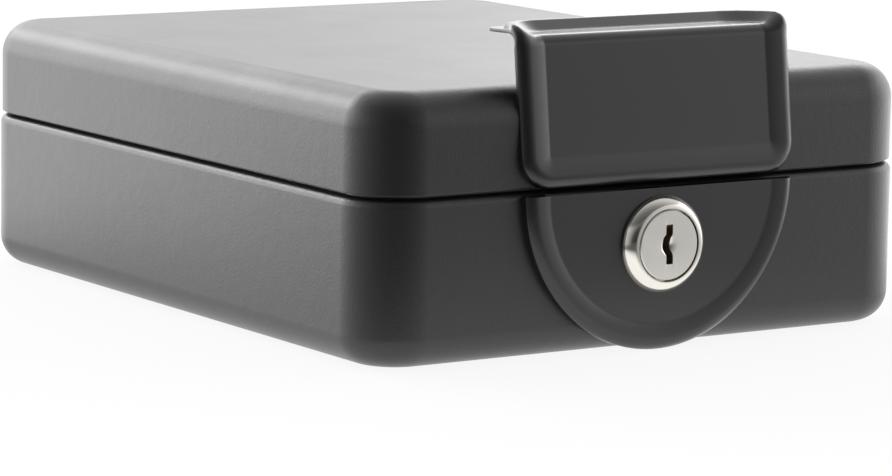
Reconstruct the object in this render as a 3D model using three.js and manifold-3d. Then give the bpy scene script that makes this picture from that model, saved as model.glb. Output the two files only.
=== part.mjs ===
// Portable car safe: a pressed-steel lock box with a rear-hinged lid, a stamped finger-grip plate on the lid,
// a half-round lock plate on the tray and a cam lock that hooks the lid's catch pin.
// Millimetres. X runs to the right, Y to the back and Z up; the lock faces -Y.
// The origin is on the floor, under the middle of the tray.
import * as THREE from 'three';
import { mergeVertices, mergeGeometries } from 'three/addons/utils/BufferGeometryUtils.js';
import Module from 'manifold-3d';

// Tray and lid
const boxWidth = 155;
const boxDepth = 190;
const boxHeight = 63;
const cornerRadius = 14.5;
const sheet = 1.2;
const trayEdgeRadius = 7.6;
const lidEdgeRadius = 8.4;
const lidInset = 0.35;
const lidDepth = 23.25;
const seamGap = 0.85;
const shoulderRadius = 2;
const lipFillet = 0.5;
const lipRoom = 9.1;
const lidHemRadius = 0.35;

// Fits
const faceGap = 0.05;
const looseGap = 0.3;
const overrun = 2;

// Handle plate on the lid
const handleWidth = 77.5;
const handleAboveSeam = 0.15;
const handleShoulder = 7.5;
const handleDrop = 1;
const handleSheet = 1;
const handleEdgeRadius = 0.7;
const handleStandOff = 3.4;
const handleLeanDegrees = 7.2;
const handleFace = 33.2;
const handleBend = 5;
const handleLip = 10.6;
const lipDroopDegrees = 2;

// Half-round lock plate on the tray
const lockPlateRadius = 38;
const lockPlateFloor = 0.15;
const lockPlateSheet = 1.3;
const lockPlateStandOff = 3.6;
const lockPlateShoulder = 5.8;
const lockPlateDrop = 1;
const lockPlateEdgeRadius = 0.7;
const plateGap = 1.7;

// Cam lock
const lockBelowSeam = 14.75;
const headRadius = 11.25;
const headRise = 2.35;
const headRim = 0.35;
const ringRadius = 9.55;
const bevelCrown = 0.28;
const lockChamfer = 0.22;
const plugFaceRadius = 8.2;
const plugFaceDepth = 1.5;
const plugRadius = 6.3;
const plugGap = 0.25;
const barrelRadius = 9.4;
const barrelFlats = 16.6;
const barrelEnd = 15.2;
const postWidth = 6.4;
const washerRadius = 12;
const washerThickness = 0.8;
const nutAcross = 23.5;
const nutThickness = 3.5;
const keywayUpper = 4.9;
const keywayLower = 4.4;
const keywayWidth = 1.9;
const keywayBelly = 0.8;
const keywayToe = 0.2;
const keywayDepth = 14;
const keyGuideRadius = 2.5;
const keyGuideDepth = 0.9;
const waferThickness = 1;
const waferPitch = 2.5;
const waferStart = 4;
const waferWidth = 4.6;
const waferHeight = 11.2;
const waferWindowWidth = 3.2;
const waferWindowHeight = 8.2;
const waferSpread = 0.7;

// Hook cam, its screw and the catch
const camThickness = 2.5;
const camHubRadius = 8.4;
const catchRadius = 14;
const catchPinRadius = 1.5;
const hookClearance = 0.6;
const hookRim = 3.2;
const camWasherRadius = 5.4;
const camWasherThickness = 0.8;
const screwRadius = 1.9;
const screwHeadRadius = 3.6;
const screwHeadHeight = 2.4;
const screwLength = 7;
const catchSheet = 2;
const catchWidth = 20;
const catchAboveLip = 0.9;
const catchTongueWidth = 13;
const catchTongueOverhang = 4.2;
const catchBend = 3;
const catchPinHeadRadius = 2.5;
const catchPinHead = 1;

// Plate screws
const plateScrewRadius = 1.5;
const plateScrewHeadRadius = 2.9;
const plateScrewHead = 1.9;
const bossRadius = 3.4;
const lockPlateScrewInset = 13;
const lockPlateScrewRise = 5;
const handleScrewInset = 11.75;
const handleScrewDrop = 3.8;

// Rear hinges
const hingeFromSide = 33.5;
const hingeWidth = 36;
const hingeMiddle = 15.5;
const knuckleGap = 0.3;
const knuckleRadius = 2;
const hingePinRadius = 1;
const hingePinGap = 0.08;
const hingePinHead = 1.5;
const hingePinHeadLength = 0.7;
const hingeSetIn = 0.9;
const hingeBelowSeam = 0.25;
const leafThickness = 1;
const trayLeafDrop = 16;
const lidLeafTop = 1.6;
const hingeNotchGap = 0.6;

// Foam mats
const trayFoam = 4;
const lidFoam = 4;
const foamMargin = 1.2;

// Facets
const cornerSteps = 8;
const edgeSteps = 6;
const smallSteps = 4;
const filletSteps = 2;
const shoulderSteps = 6;
const bendSteps = 7;
const roundSteps = 44;
const plateSteps = 76;
const smallRoundSteps = 20;

// Planes that pieces share
const trayFront = -boxDepth / 2;
const trayFrontInside = trayFront + sheet;
const lidFront = trayFront + lidInset;
const lidFrontInside = lidFront + sheet;
const seamHeight = boxHeight - lidDepth;
const shoulderTop = seamHeight - seamGap;
const lidWallTop = boxHeight - lidEdgeRadius;
const lipTop = lidWallTop - lipRoom;
const handleBottom = seamHeight + handleAboveSeam;
const lockHeight = seamHeight - lockBelowSeam;
const lockPlateScrewSpread = lockPlateRadius - lockPlateScrewInset;
const lockPlateScrewHeight = lockHeight + lockPlateScrewRise;
const handleScrewSpread = handleWidth / 2 - handleScrewInset;
const handleScrewHeight = lidWallTop - handleScrewDrop;
const catchWebHeight = lipTop + catchAboveLip;
const lockPlateFace = trayFront - lockPlateStandOff;
const lockFace = lockPlateFace - headRise;
const barrelBack = trayFront + barrelEnd;
const camFront = barrelBack + looseGap;
const camBack = camFront + camThickness;
const hingeSpread = boxWidth / 2 - hingeFromSide;
const hingeAxisY = boxDepth / 2 - hingeSetIn;
const hingeHeight = seamHeight - hingeBelowSeam;
const hingeNotchHalf = hingeWidth / 2 + faceGap + hingePinHeadLength + hingeNotchGap;
const handleFaceFront = trayFront - handleStandOff;

const steel = { color: 0x3a3a3c, roughness: 0.55, metalness: 0.2 };
const stamped = { color: 0x2b2a2c, roughness: 0.35, metalness: 0.2 };
const nickel = { color: 0xb9b6b0, roughness: 0.22, metalness: 1 };
const zinc = { color: 0x9fa3a6, roughness: 0.38, metalness: 0.9 };
const brass = { color: 0xb08d4a, roughness: 0.35, metalness: 1 };
const foam = { color: 0x1d1d1f, roughness: 0.95, metalness: 0 };

const wasm = await Module();
wasm.setup();

const safe = new THREE.Group();
const lid = new THREE.Group();
const lock = new THREE.Group();
safe.add(lid);
safe.add(lock);

function addPiece(group, name, geometry, finish) {
  const mesh = new THREE.Mesh(geometry, new THREE.MeshStandardMaterial(finish));
  mesh.name = name;
  group.add(mesh);
}

// Solids and booleans

function toSolid(geometry) {
  const bare = geometry.clone();
  bare.deleteAttribute('normal');
  bare.deleteAttribute('uv');
  const merged = mergeVertices(bare);
  const vertProperties = Float32Array.from(merged.attributes.position.array);
  const triVerts = [];
  const index = merged.index.array;
  for (let i = 0; i < index.length; i += 3) {
    const [a, b, c] = [index[i], index[i + 1], index[i + 2]];
    if (a !== b && b !== c && c !== a) triVerts.push(a, b, c);
  }
  return new wasm.Manifold(new wasm.Mesh({ numProp: 3, vertProperties, triVerts: Uint32Array.from(triVerts) }));
}

function toGeometry(solid) {
  const mesh = solid.getMesh();
  const geometry = new THREE.BufferGeometry();
  geometry.setAttribute('position', new THREE.BufferAttribute(Float32Array.from(mesh.vertProperties), 3));
  geometry.setIndex(Array.from(mesh.triVerts));
  return geometry;
}

function cut(geometry, tools) {
  return toGeometry(tools.reduce((solid, tool) => solid.subtract(toSolid(tool)), toSolid(geometry)));
}

function join(geometry, pieces) {
  return toGeometry(pieces.reduce((solid, piece) => solid.add(toSolid(piece)), toSolid(geometry)));
}

function common(geometry, other) {
  return toGeometry(toSolid(geometry).intersect(toSolid(other)));
}

// A box between two corners
function block(low, high) {
  const size = high.map((value, i) => value - low[i]);
  const box = new THREE.BoxGeometry(...size);
  return box.translate(...low.map((value, i) => value + size[i] / 2));
}

// A round bar along Y at (x, z)
function barY(radius, from, to, x, z, steps) {
  const bar = new THREE.CylinderGeometry(radius, radius, to - from, steps);
  return bar.translate(x, (from + to) / 2, z);
}

// A round bar along X at (y, z)
function barX(radius, from, to, y, z, steps) {
  const bar = new THREE.CylinderGeometry(radius, radius, to - from, steps).rotateZ(Math.PI / 2);
  return bar.translate((from + to) / 2, y, z);
}

// A body turned about the Y direction through (x, z), from points [radius, y]
function turned(points, x, z, steps) {
  const profile = points.map(([radius, y]) => new THREE.Vector2(radius, y));
  return new THREE.LatheGeometry(profile, steps).translate(x, 0, z);
}

// A flat outline in X and Z, given thickness from one Y to another
function slab(shape, from, to, steps) {
  const body = new THREE.ExtrudeGeometry(shape, { depth: to - from, bevelEnabled: false, curveSegments: steps });
  return body.rotateX(Math.PI / 2).translate(0, to, 0);
}

// A flat outline in X and Y, given thickness from one Z to another
function layer(shape, from, to, steps) {
  const body = new THREE.ExtrudeGeometry(shape, { depth: to - from, bevelEnabled: false, curveSegments: steps });
  return body.translate(0, 0, from);
}

// Points of an arc, both ends included
function arc(centreA, centreB, radius, fromDegrees, toDegrees, steps) {
  const points = [];
  for (let i = 0; i <= steps; i += 1) {
    const angle = THREE.MathUtils.degToRad(fromDegrees + (toDegrees - fromDegrees) * i / steps);
    points.push([centreA + radius * Math.cos(angle), centreB + radius * Math.sin(angle)]);
  }
  return points;
}

// A closed skin over rings of equal length, with a triangle list for each end
function loft(rings, startCap, endCap) {
  const count = rings[0].length;
  const position = rings.flat(2);
  const index = [];
  for (let r = 0; r + 1 < rings.length; r += 1) {
    for (let i = 0; i < count; i += 1) {
      const next = (i + 1) % count;
      const [a, b] = [r * count + i, r * count + next];
      const [c, d] = [a + count, b + count];
      index.push(a, b, d, a, d, c);
    }
  }
  const last = (rings.length - 1) * count;
  startCap.forEach(([a, b, c]) => index.push(a, c, b));
  endCap.forEach(([a, b, c]) => index.push(last + a, last + b, last + c));
  const geometry = new THREE.BufferGeometry();
  geometry.setAttribute('position', new THREE.Float32BufferAttribute(position, 3));
  geometry.setIndex(index);
  return mergeVertices(geometry);
}

function fanCap(count) {
  return Array.from({ length: count - 2 }, (_, i) => [0, i + 1, i + 2]);
}

// Pressed shells: a profile of [inset, z] carried round a rounded rectangle

function rectangleRing(halfWidth, halfDepth, radius, inset, z) {
  const corner = radius - inset;
  const [cx, cy] = [halfWidth - radius, halfDepth - radius];
  const quarters = [[cx, cy, 0], [-cx, cy, 90], [-cx, -cy, 180], [cx, -cy, 270]];
  return quarters.flatMap(([x, y, start]) => arc(x, y, corner, start, start + 90, cornerSteps).map(([a, b]) => [a, b, z]));
}

function pressedShell(profile, halfWidth, halfDepth, radius) {
  const rings = profile.map(([inset, z]) => rectangleRing(halfWidth, halfDepth, radius, inset, z));
  const cap = fanCap(rings[0].length);
  return loft(rings, cap, cap);
}

function makeTray() {
  const outside = [
    ...arc(trayEdgeRadius, trayEdgeRadius, trayEdgeRadius, 270, 180, edgeSteps),
    ...arc(shoulderRadius, shoulderTop - shoulderRadius, shoulderRadius, 180, 90, smallSteps),
    ...arc(shoulderRadius, shoulderTop + lipFillet, lipFillet, 270, 360, filletSteps),
    [shoulderRadius + lipFillet, lipTop],
  ];
  const inside = [
    [shoulderRadius + lipFillet + sheet, lipTop],
    ...arc(shoulderRadius, shoulderTop + lipFillet, lipFillet + sheet, 360, 270, filletSteps),
    ...arc(shoulderRadius, shoulderTop - shoulderRadius, shoulderRadius - sheet, 90, 180, filletSteps),
    ...arc(trayEdgeRadius, trayEdgeRadius, trayEdgeRadius - sheet, 180, 270, edgeSteps),
  ];
  const shell = pressedShell([...outside, ...inside], boxWidth / 2, boxDepth / 2, cornerRadius);
  const screwHoles = [-1, 1].map((side) => barY(
    plateScrewRadius + looseGap, trayFront - overrun, trayFrontInside + overrun,
    side * lockPlateScrewSpread, lockPlateScrewHeight, smallRoundSteps,
  ));
  const notchFloor = hingeHeight - knuckleRadius - hingeNotchGap;
  const notches = [-1, 1].map((side) => block(
    [side * hingeSpread - hingeNotchHalf, boxDepth / 2 - shoulderRadius - lipFillet - sheet - overrun, notchFloor],
    [side * hingeSpread + hingeNotchHalf, boxDepth / 2 + overrun, lipTop + overrun],
  ));
  return cut(shell, [barrelHole(trayFront, trayFrontInside), ...screwHoles, ...notches]);
}

function makeLidShell() {
  const inner = lidEdgeRadius - sheet;
  const profile = [
    ...arc(lidEdgeRadius, lidWallTop, inner, 90, 180, edgeSteps),
    [sheet, seamHeight],
    ...arc(lidHemRadius, seamHeight + lidHemRadius, lidHemRadius, 270, 180, smallSteps),
    ...arc(lidEdgeRadius, lidWallTop, lidEdgeRadius, 180, 90, edgeSteps),
  ];
  const shell = pressedShell(profile, boxWidth / 2 - lidInset, boxDepth / 2 - lidInset, cornerRadius - lidInset);
  const screwHoles = [-1, 1].map((side) => barY(
    plateScrewRadius + looseGap, lidFront - overrun, lidFrontInside + overrun,
    side * handleScrewSpread, handleScrewHeight, smallRoundSteps,
  ));
  const notchTop = hingeHeight + knuckleRadius + hingeNotchGap;
  const notches = [-1, 1].map((side) => block(
    [side * hingeSpread - hingeNotchHalf, boxDepth / 2 - lidInset - sheet - overrun, seamHeight - overrun],
    [side * hingeSpread + hingeNotchHalf, boxDepth / 2 + overrun, notchTop],
  ));
  return cut(shell, [...screwHoles, ...notches]);
}

// The double-D hole that keeps the lock's barrel from turning
function barrelHole(from, to) {
  const round = barY(barrelRadius + looseGap, from - overrun, to + overrun, 0, lockHeight, roundSteps);
  const reach = barrelRadius + overrun;
  const half = barrelFlats / 2 + looseGap;
  const band = block([-reach, from - overrun, lockHeight - half], [reach, to + overrun, lockHeight + half]);
  return common(round, band);
}

// Handle plate: a stamped plate laid out flat and bent along its path. u runs across it, v from its lower edge
// along the face, round the bend and along the lip, and h stands out of its face.

const lean = THREE.MathUtils.degToRad(handleLeanDegrees);
const bendTurn = Math.PI / 2 + THREE.MathUtils.degToRad(lipDroopDegrees) - lean;
const bendLength = handleBend * bendTurn;
const handleLength = handleFace + bendLength + handleLip;

function alongPath(v, h) {
  const straight = Math.min(v, handleFace);
  let y = handleFaceFront + Math.sin(lean) * straight;
  let z = handleBottom + Math.cos(lean) * straight;
  const turn = Math.min(Math.max(v - handleFace, 0), bendLength) / handleBend;
  const angle = lean + turn;
  y += handleBend * (Math.cos(lean) - Math.cos(angle));
  z += handleBend * (Math.sin(angle) - Math.sin(lean));
  const rest = Math.max(v - handleFace - bendLength, 0);
  y += Math.sin(angle) * rest;
  z += Math.cos(angle) * rest;
  return [y - Math.cos(angle) * h, z + Math.sin(angle) * h];
}

// How far the stamped shoulder has fallen at a distance in from the edge: gently at first, then steeper
const gentleShare = 0.35;
function shoulderFall(inset, shoulder, drop) {
  const share = Math.max(shoulder - inset, 0) / shoulder;
  return drop * (gentleShare * share + (1 - gentleShare) * share * share);
}

// Points [inset, height] from the flat face down over the shoulder and round the edge
const edgeStartDegrees = 20;
function stampedEdge(shoulder, drop, edgeRadius) {
  const tip = edgeRadius * (1 - Math.sin(THREE.MathUtils.degToRad(edgeStartDegrees)));
  const slope = Array.from({ length: shoulderSteps + 1 }, (_, i) => {
    const inset = shoulder + (tip - shoulder) * i / shoulderSteps;
    return [inset, -shoulderFall(inset, shoulder, drop)];
  });
  const foot = slope[slope.length - 1][1] - edgeRadius * Math.cos(THREE.MathUtils.degToRad(edgeStartDegrees));
  const round = arc(edgeRadius, foot, edgeRadius, 180 - (90 - edgeStartDegrees), 180, smallSteps).slice(1);
  return [...slope, ...round];
}

// The stations along the plate's sides: through the face, then closely round the bend
function handleStations() {
  const seatEnd = lidWallTop - handleBottom;
  const stations = [handleShoulder, seatEnd / 2, seatEnd, handleFace];
  for (let i = 1; i <= bendSteps; i += 1) stations.push(handleFace + bendLength * i / bendSteps);
  stations.push(handleLength - handleShoulder);
  return stations;
}

function handleRing(inset, height) {
  const stations = handleStations();
  const right = handleWidth / 2 - handleShoulder;
  const corner = handleShoulder - inset;
  const [low, high] = [stations[0], stations[stations.length - 1]];
  const middle = stations.slice(1, -1);
  const flat = [
    ...arc(-right, low, corner, 180, 270, cornerSteps),
    ...arc(right, low, corner, 270, 360, cornerSteps),
    ...middle.map((v) => [right + corner, v]),
    ...arc(right, high, corner, 0, 90, cornerSteps),
    ...arc(-right, high, corner, 90, 180, cornerSteps),
    ...middle.slice().reverse().map((v) => [-right - corner, v]),
  ];
  return flat.map(([u, v]) => {
    const [y, z] = alongPath(v, height(v));
    return [u, y, z];
  });
}

// Joins the face's two sides station by station, so that the cap follows the bend
function handleCap() {
  const corner = cornerSteps + 1;
  const middle = handleStations().length - 2;
  const left = [corner - 1, ...Array.from({ length: middle }, (_, i) => 4 * corner + 2 * middle - 1 - i), 3 * corner + middle];
  const right = [corner, ...Array.from({ length: middle }, (_, i) => 2 * corner + i), 2 * corner + middle];
  return left.slice(1).flatMap((above, i) => [
    [left[i], right[i], right[i + 1]],
    [left[i], right[i + 1], above],
  ]);
}

function makeHandlePlate() {
  const edge = stampedEdge(handleShoulder, handleDrop, handleEdgeRadius);
  const lidSeat = lidFront - faceGap;
  const innerAt = (inset) => -shoulderFall(inset, handleShoulder, handleDrop) - handleSheet;
  const thinRim = innerAt(handleSheet);
  const rimHeight = (v) => {
    const [y] = alongPath(v, 0);
    return v > handleFace ? thinRim : Math.min(thinRim, (y - lidSeat) / Math.cos(lean));
  };
  const slope = edge.slice(0, shoulderSteps).filter(([inset]) => inset > handleSheet);
  const rings = [
    ...edge.map(([inset, height]) => handleRing(inset, () => height)),
    handleRing(0, rimHeight),
    handleRing(handleSheet, rimHeight),
    handleRing(handleSheet, () => thinRim),
    ...slope.slice().reverse().map(([inset]) => handleRing(inset, () => innerAt(inset))),
  ];
  const plate = loft(rings.reverse(), handleCap(), handleCap());
  return plateWithBosses(plate, handleScrewSpread, handleScrewHeight, lidSeat, handleFaceAt(handleScrewHeight), handleSheet);
}

// Where the handle's face stands at a height
function handleFaceAt(height) {
  return handleFaceFront + Math.tan(lean) * (height - handleBottom);
}

// Two screw bosses behind a plate's face, drilled down to it
function plateWithBosses(plate, spread, height, seat, face, thickness) {
  const sides = [-1, 1];
  const posts = sides.map((side) => barY(bossRadius, face + thickness / 2, seat, side * spread, height, smallRoundSteps));
  const pilots = sides.map((side) => barY(
    plateScrewRadius + faceGap, face + thickness, seat + overrun, side * spread, height, smallRoundSteps,
  ));
  return cut(join(plate, posts), pilots);
}

// Lock plate: a turned dish with a stamped shoulder, cut off straight along its top

function makeLockPlate() {
  const centre = lockPlateFloor + lockPlateRadius;
  const top = handleBottom - plateGap;
  const seat = trayFront - faceGap;
  const edge = stampedEdge(lockPlateShoulder, lockPlateDrop, lockPlateEdgeRadius);
  const outer = edge.map(([inset, height]) => [lockPlateRadius - inset, lockPlateFace - height]);
  const wall = lockPlateRadius - lockPlateSheet;
  const inner = edge.slice(0, shoulderSteps).filter(([inset]) => inset > lockPlateSheet)
    .map(([inset, height]) => [lockPlateRadius - inset, lockPlateFace - height + lockPlateSheet]);
  const shoulderEnd = lockPlateFace + shoulderFall(lockPlateSheet, lockPlateShoulder, lockPlateDrop) + lockPlateSheet;
  const dish = turned([
    [0, lockPlateFace], ...outer, [lockPlateRadius, seat], [wall, seat], [wall, shoulderEnd],
    ...inner.slice().reverse(), [0, lockPlateFace + lockPlateSheet],
  ], 0, centre, plateSteps);
  const full = turned([[0, lockPlateFace], ...outer, [lockPlateRadius, seat], [0, seat]], 0, centre, plateSteps);
  const reach = lockPlateRadius + overrun;
  const [front, back] = [lockPlateFace - overrun, seat + overrun];
  const lower = block([-reach, front, -overrun], [reach, back, top]);
  const topWall = block([-reach, front, top - lockPlateSheet], [reach, back, top]);
  const plate = join(common(dish, lower), [common(full, topWall)]);
  const bossed = plateWithBosses(plate, lockPlateScrewSpread, lockPlateScrewHeight, seat, lockPlateFace, lockPlateSheet);
  return cut(bossed, [barrelHole(lockPlateFace, seat)]);
}

// Screw from the inside into a plate's boss
function plateScrew(x, z, wallInside, face, thickness) {
  const headFront = wallInside + faceGap;
  const tip = face + thickness + faceGap;
  const crown = plateScrewHeadRadius - plateScrewHead / 2;
  return turned([
    [0, tip], [plateScrewRadius, tip], [plateScrewRadius, headFront], [plateScrewHeadRadius, headFront],
    [plateScrewHeadRadius, headFront + plateScrewHead / 2], [crown, headFront + plateScrewHead], [0, headFront + plateScrewHead],
  ], x, z, smallRoundSteps);
}

// Cam lock

function makeLockHousing() {
  const seat = lockPlateFace - faceGap;
  const bore = plugRadius + plugGap;
  const counterbore = plugFaceRadius + plugGap;
  const floor = lockFace + plugFaceDepth + plugGap;
  const bevelFoot = seat - headRim;
  const crown = [(ringRadius + headRadius) / 2 + bevelCrown, (lockFace + bevelFoot) / 2 - bevelCrown];
  const body = turned([
    [bore, barrelBack], [bore, floor], [counterbore, floor], [counterbore, lockFace + lockChamfer],
    [counterbore + lockChamfer / 2, lockFace], [ringRadius - lockChamfer, lockFace], [ringRadius, lockFace + lockChamfer / 2],
    crown, [headRadius, bevelFoot], [headRadius, seat], [barrelRadius, seat], [barrelRadius, barrelBack], [bore, barrelBack],
  ], 0, lockHeight, roundSteps);
  const reach = barrelRadius + overrun;
  const flats = [-1, 1].map((side) => {
    const [inner, outer] = [side * barrelFlats / 2, side * reach];
    return block(
      [-reach, seat, lockHeight + Math.min(inner, outer)],
      [reach, barrelBack + overrun, lockHeight + Math.max(inner, outer)],
    );
  });
  return cut(body, flats);
}

function makeLockWasher() {
  const from = trayFrontInside + faceGap;
  const disc = barY(washerRadius, from, from + washerThickness, 0, lockHeight, roundSteps);
  return cut(disc, [barY(barrelRadius + plugGap, from - overrun, from + overrun, 0, lockHeight, roundSteps)]);
}

function makeLockNut() {
  const from = trayFrontInside + faceGap + washerThickness + faceGap;
  const corner = nutAcross / Math.sqrt(3);
  const outline = new THREE.Shape(arc(0, 0, corner, 0, 300, 5).map(([x, z]) => new THREE.Vector2(x, z)));
  const body = slab(outline, from, from + nutThickness, 1).translate(0, 0, lockHeight);
  return cut(body, [barY(barrelRadius + faceGap, from - overrun, from + nutThickness + overrun, 0, lockHeight, roundSteps)]);
}

// The keyway: an upright slot whose middle bellies to the left and whose foot steps to the right
const keywayShares = { neck: 0.54, belly: 0.36, waist: -0.18, ankle: -0.55 };
function keywayOutline() {
  const half = keywayWidth / 2;
  const [neck, belly] = [keywayUpper * keywayShares.neck, keywayUpper * keywayShares.belly];
  const [waist, ankle] = [keywayLower * keywayShares.waist, keywayLower * keywayShares.ankle];
  const points = [
    [half, keywayUpper], [-half, keywayUpper], [-half, neck], [-half - keywayBelly, belly], [-half - keywayBelly, waist],
    [-half + keywayToe, ankle], [-half + keywayToe, -keywayLower], [half + keywayToe, -keywayLower],
    [half + keywayToe, ankle], [half - keywayBelly / 2, waist], [half - keywayBelly / 2, belly], [half, neck],
  ];
  return new THREE.Shape(points.map(([x, z]) => new THREE.Vector2(x, z)));
}

const waferPlaces = [0, 1, 2, 3].map((i) => lockFace + waferStart + i * waferPitch);

function makeLockPlug() {
  const back = camBack;
  const half = postWidth / 2;
  const face = lockFace + faceGap;
  const round = turned([
    [0, face + keyGuideDepth], [keyGuideRadius, face], [plugFaceRadius - lockChamfer, face],
    [plugFaceRadius, face + lockChamfer], [plugFaceRadius, face + plugFaceDepth], [plugRadius, face + plugFaceDepth],
    [plugRadius, camFront], [0, camFront],
  ], 0, lockHeight, roundSteps);
  const post = block([-half, camFront - overrun, lockHeight - half], [half, back, lockHeight + half]);
  const keyway = slab(keywayOutline(), face - overrun, face + keywayDepth, 1).translate(0, 0, lockHeight);
  const slots = waferPlaces.map((y) => {
    const [w, h] = [waferWidth / 2 + looseGap, waferHeight / 2 + looseGap];
    return block([-w, y - looseGap / 2, lockHeight - h], [w, y + waferThickness + looseGap / 2, lockHeight + h]);
  });
  const tapped = barY(screwRadius + faceGap, back - screwLength, back + overrun, 0, lockHeight, smallRoundSteps);
  return cut(join(round, [post]), [keyway, ...slots, tapped]);
}

// Each wafer's window is cut for a different key height
const waferWindowShares = [-0.5, 0.5, -0.1, 0.3];

function makeWafer(i) {
  const y = waferPlaces[i];
  const [w, h] = [waferWidth / 2, waferHeight / 2];
  const plate = block([-w, y, lockHeight - h], [w, y + waferThickness, lockHeight + h]);
  const middle = lockHeight + waferSpread * waferWindowShares[i];
  const [ww, wh] = [waferWindowWidth / 2, waferWindowHeight / 2];
  return cut(plate, [block([-ww, y - overrun, middle - wh], [ww, y + waferThickness + overrun, middle + wh])]);
}

// Hook cam: it lies to the right with the lock open, and hooks over the catch pin when turned a quarter up
function makeCam() {
  const inner = catchRadius - catchPinRadius - hookClearance;
  const outer = catchRadius + catchPinRadius + hookClearance;
  const tip = outer + hookRim;
  const hookDegrees = { heel: -24, closed: -10, mouth: 24 };
  const heel = arc(0, 0, tip, hookDegrees.heel, hookDegrees.mouth, smallSteps * 2);
  const slot = [
    ...arc(0, 0, outer, hookDegrees.mouth, hookDegrees.closed, smallSteps),
    ...arc(0, 0, inner, hookDegrees.closed, hookDegrees.mouth, smallSteps),
  ];
  const hub = arc(0, 0, camHubRadius, hookDegrees.mouth + hookDegrees.mouth, 360 + hookDegrees.heel * 2, smallSteps * 3);
  const outline = new THREE.Shape([...heel, ...slot, ...hub].map(([x, z]) => new THREE.Vector2(x, z)));
  const body = slab(outline, camFront + faceGap, camBack, 1).translate(0, 0, lockHeight);
  const half = postWidth / 2 + faceGap;
  const square = block([-half, camFront - overrun, lockHeight - half], [half, camBack + overrun, lockHeight + half]);
  return cut(body, [square]);
}

function makeCamWasher() {
  const from = camBack + faceGap;
  const disc = barY(camWasherRadius, from, from + camWasherThickness, 0, lockHeight, smallRoundSteps);
  return cut(disc, [barY(screwRadius + plugGap, from - overrun, from + overrun, 0, lockHeight, smallRoundSteps)]);
}

function makeCamScrew() {
  const seat = camBack + faceGap + camWasherThickness + faceGap;
  const tip = camBack - screwLength + looseGap;
  const crown = screwHeadRadius - screwHeadHeight / 3;
  return turned([
    [0, tip], [screwRadius, tip], [screwRadius, seat], [screwHeadRadius, seat],
    [screwHeadRadius, seat + screwHeadHeight / 2], [crown, seat + screwHeadHeight], [0, seat + screwHeadHeight],
  ], 0, lockHeight, smallRoundSteps);
}

// Catch bracket: welded inside the lid's front, over the tray's lip and down behind the cam

const tongueFront = camBack + looseGap;
const catchPinHeight = lockHeight + catchRadius;

function makeCatchBracket() {
  const front = lidFrontInside + faceGap;
  const back = tongueFront + catchSheet;
  const [webLow, webHigh] = [catchWebHeight, catchWebHeight + catchSheet];
  const inner = catchBend - catchSheet;
  const low = catchPinHeight - catchTongueOverhang;
  const upper = lidWallTop - looseGap;
  const outline = new THREE.Shape([
    [front, upper], ...arc(front + catchBend, webLow + catchBend, catchBend, 180, 270, smallSteps),
    ...arc(tongueFront - inner, webLow - inner, inner, 90, 0, smallSteps), [tongueFront, low], [back, low],
    ...arc(tongueFront - inner, webLow - inner, catchBend, 0, 90, smallSteps),
    ...arc(front + catchBend, webHigh + inner, inner, 270, 180, smallSteps), [front + catchSheet, upper],
  ].map(([y, z]) => new THREE.Vector2(y, z)));
  const half = catchWidth / 2;
  const body = new THREE.ExtrudeGeometry(outline, { depth: catchWidth, bevelEnabled: false });
  body.applyMatrix4(new THREE.Matrix4().makeBasis(
    new THREE.Vector3(0, 1, 0), new THREE.Vector3(0, 0, 1), new THREE.Vector3(1, 0, 0),
  ));
  body.translate(-half, 0, 0);
  const trims = [-1, 1].map((side) => {
    const [near, far] = [side * catchTongueWidth / 2, side * (half + overrun)];
    return block(
      [Math.min(near, far), front + catchSheet + catchBend, low - overrun],
      [Math.max(near, far), back + overrun, webHigh + overrun],
    );
  });
  const hole = barY(catchPinRadius + faceGap, tongueFront - overrun, back + overrun, 0, catchPinHeight, smallRoundSteps);
  return cut(body, [...trims, hole]);
}

function makeCatchPin() {
  const head = tongueFront + catchSheet + faceGap;
  const tip = camFront - looseGap;
  return turned([
    [0, tip], [catchPinRadius, tip], [catchPinRadius, head], [catchPinHeadRadius, head],
    [catchPinHeadRadius, head + catchPinHead / 2], [catchPinHeadRadius - catchPinHead / 2, head + catchPinHead], [0, head + catchPinHead],
  ], 0, catchPinHeight, smallRoundSteps);
}

// Rear hinges

const hingeHalf = hingeWidth / 2;
const middleHalf = hingeMiddle / 2;
const pinLength = hingeWidth + 2 * faceGap;

function hingeBore(x) {
  return barX(hingePinRadius + hingePinGap, x - hingeHalf - overrun, x + hingeHalf + overrun, hingeAxisY, hingeHeight, smallRoundSteps);
}

function makeTrayLeaf(side) {
  const x = side * hingeSpread;
  const back = boxDepth / 2 - sheet - faceGap;
  const plate = block([x - hingeHalf, back - leafThickness, hingeHeight - trayLeafDrop], [x + hingeHalf, back, hingeHeight]);
  const knuckles = barX(knuckleRadius, x - hingeHalf, x + hingeHalf, hingeAxisY, hingeHeight, smallRoundSteps);
  const clear = knuckleRadius + knuckleGap;
  const gap = middleHalf + knuckleGap;
  const middle = block(
    [x - gap, hingeAxisY - clear - overrun, hingeHeight - clear],
    [x + gap, hingeAxisY + clear + overrun, hingeHeight + clear + overrun],
  );
  return cut(join(plate, [knuckles]), [middle, hingeBore(x)]);
}

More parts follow.
